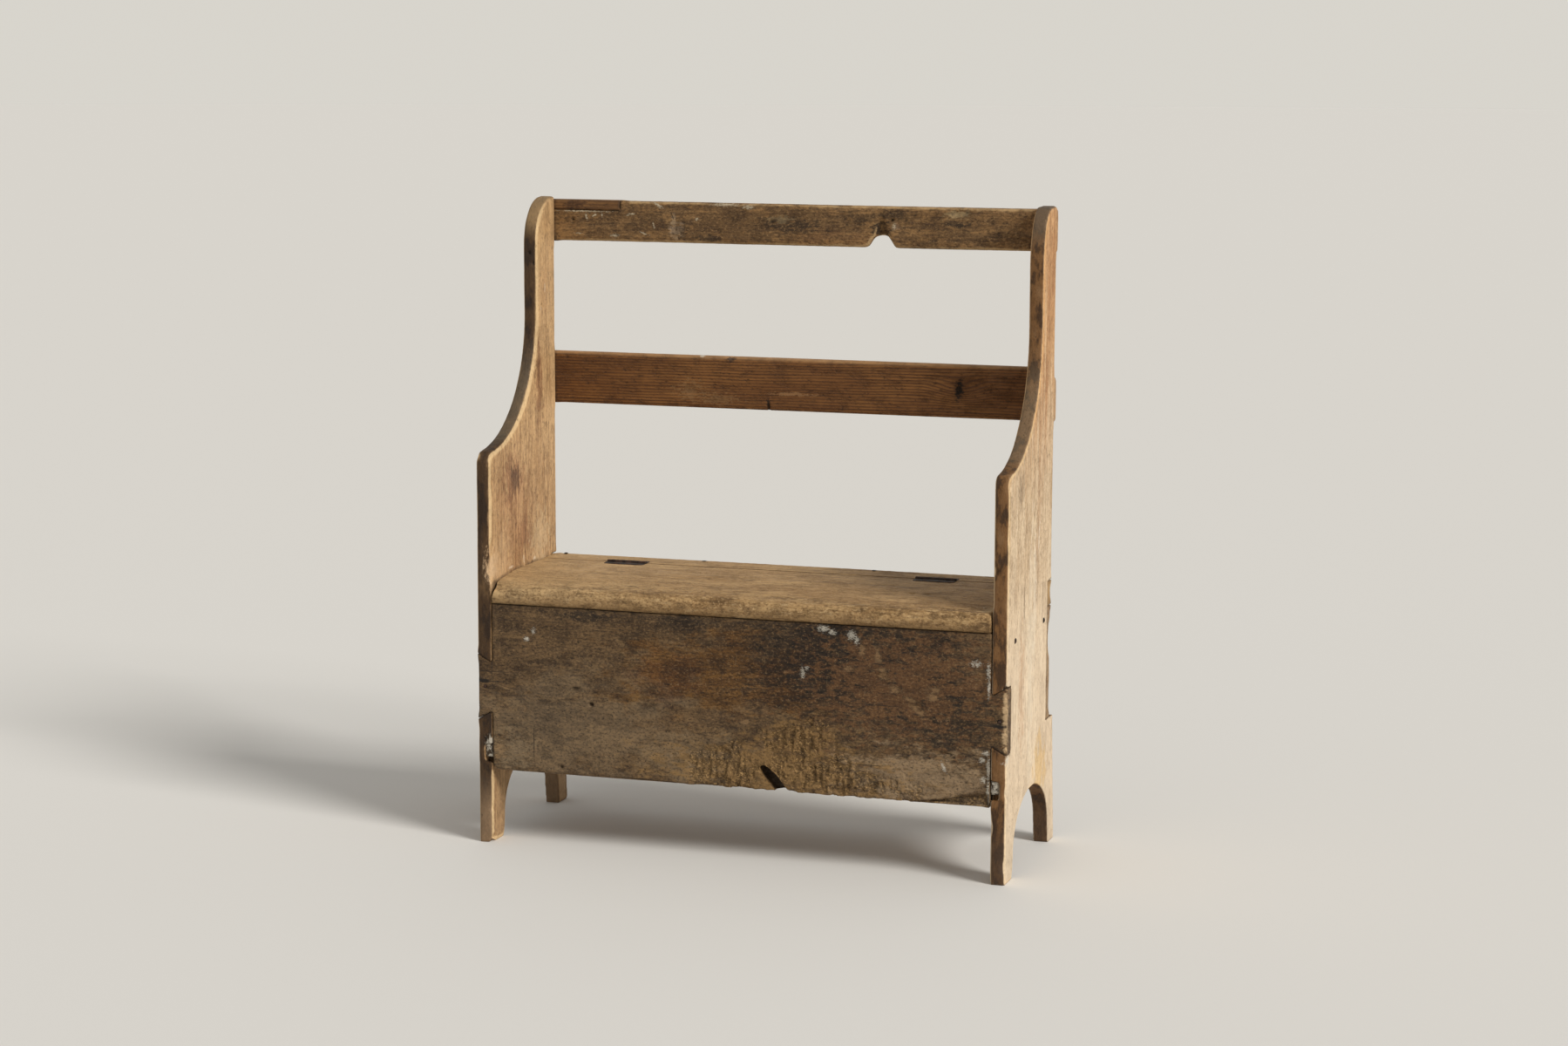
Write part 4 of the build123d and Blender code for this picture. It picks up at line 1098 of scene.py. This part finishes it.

# %% [markdown]
# ## The inner boards' finish
# Behind and inside, the pine is dusty and brown and was never scrubbed. The floor's horns, which show in the front
# edges of the end boards, are painted black under old plaster: painted shade for the dark gaps in their housings.

# %% Finish the inner boards
INNER_TONES = ((168, 138, 100), (142, 112, 78), (108, 80, 54), (70, 52, 37))
INNER_BOARDS = (("back_panel_pine", "XZY", 0.129, (0.3, 0.2), (back,)),
                ("bottom_pine", "XYZ", 0.2, (0.0, 0.05), (bottom,)),
                ("cleat_pine", "YZX", 0.0, (0.3, 0.1), (left_cleat, right_cleat)))
for name, grain, face, heart, pieces in INNER_BOARDS:
    sawn = Pine(name, grain, face)
    sawn.rings(heart, 0.0064, (0.03, 0.03), 0.035, INNER_TONES, 0.5)
    sawn.coat(ease(sawn.cloud(0.03, 0.03, 62, 6.0, 0.68), 0.5, 0.64) * 0.35, (140, 126, 106))
    if "bottom" in name:
        # The horns' ends are painted black, as painted shade of the gaps in the end boards' housings.
        sawn.coat(ease(sawn.across, -0.148, -0.158) * 0.9, DIRT_AND_SHADE_TONE)
        limed = ease(sawn.across, -0.159, -0.163) * ease(sawn.cloud(0.007, 0.007, 65, 6.0, 0.7), 0.42, 0.54)
        sawn.coat(limed * 0.75, PLASTER_TONE)
    sawn.checks(63)
    sawn.worm_holes(0.03, 0.0012, 0.43, 64)
    sawn.age((166, 136, 98))
    sawn.finish(*pieces)

# %% [markdown]
# ## The iron's finish
# Old wrought iron is almost black, with brown rust over it and a dull sheen where it is rubbed.

# %% Finish the iron
rust, place = new_material("rusted_iron")


def iron_cloud(size, seed):
    """Noise from 0 to 1 in patches of one size."""
    local = place.node("ShaderNodeMapping", {"vector_type": "TEXTURE"},
                       {"Vector": place, "Location": (seed, seed, seed), "Scale": (size, size, size)})
    sockets = {"Vector": local, "Scale": 1.0, "Detail": 4.0, "Roughness": 0.6}
    return local.node("ShaderNodeTexNoise", {}, sockets)


scale = ease(iron_cloud(0.008, 1), 0.42, 0.62)
grain = iron_cloud(0.0014, 2)
skin = blend(scale, tone(38, 32, 29), tone(62, 42, 31))
skin = blend(ease(grain, 0.55, 0.75), skin, tone(86, 58, 40))
relief = {"Height": 0.0004 * grain + 0.0003 * scale, "Distance": 1.0}
pits = place.node("ShaderNodeBump", {}, relief, output="Normal")
metal = place.node("ShaderNodeBsdfPrincipled", {}, {
    "Base Color": skin, "Roughness": 0.55 + 0.3 * scale, "Metallic": 0.75 - 0.7 * scale, "Normal": pits})
metal.node("ShaderNodeOutputMaterial", {}, {"Surface": metal})
for piece in iron:
    piece.data.materials.append(rust)
print("rusted_iron has", len(rust.node_tree.nodes), "nodes")
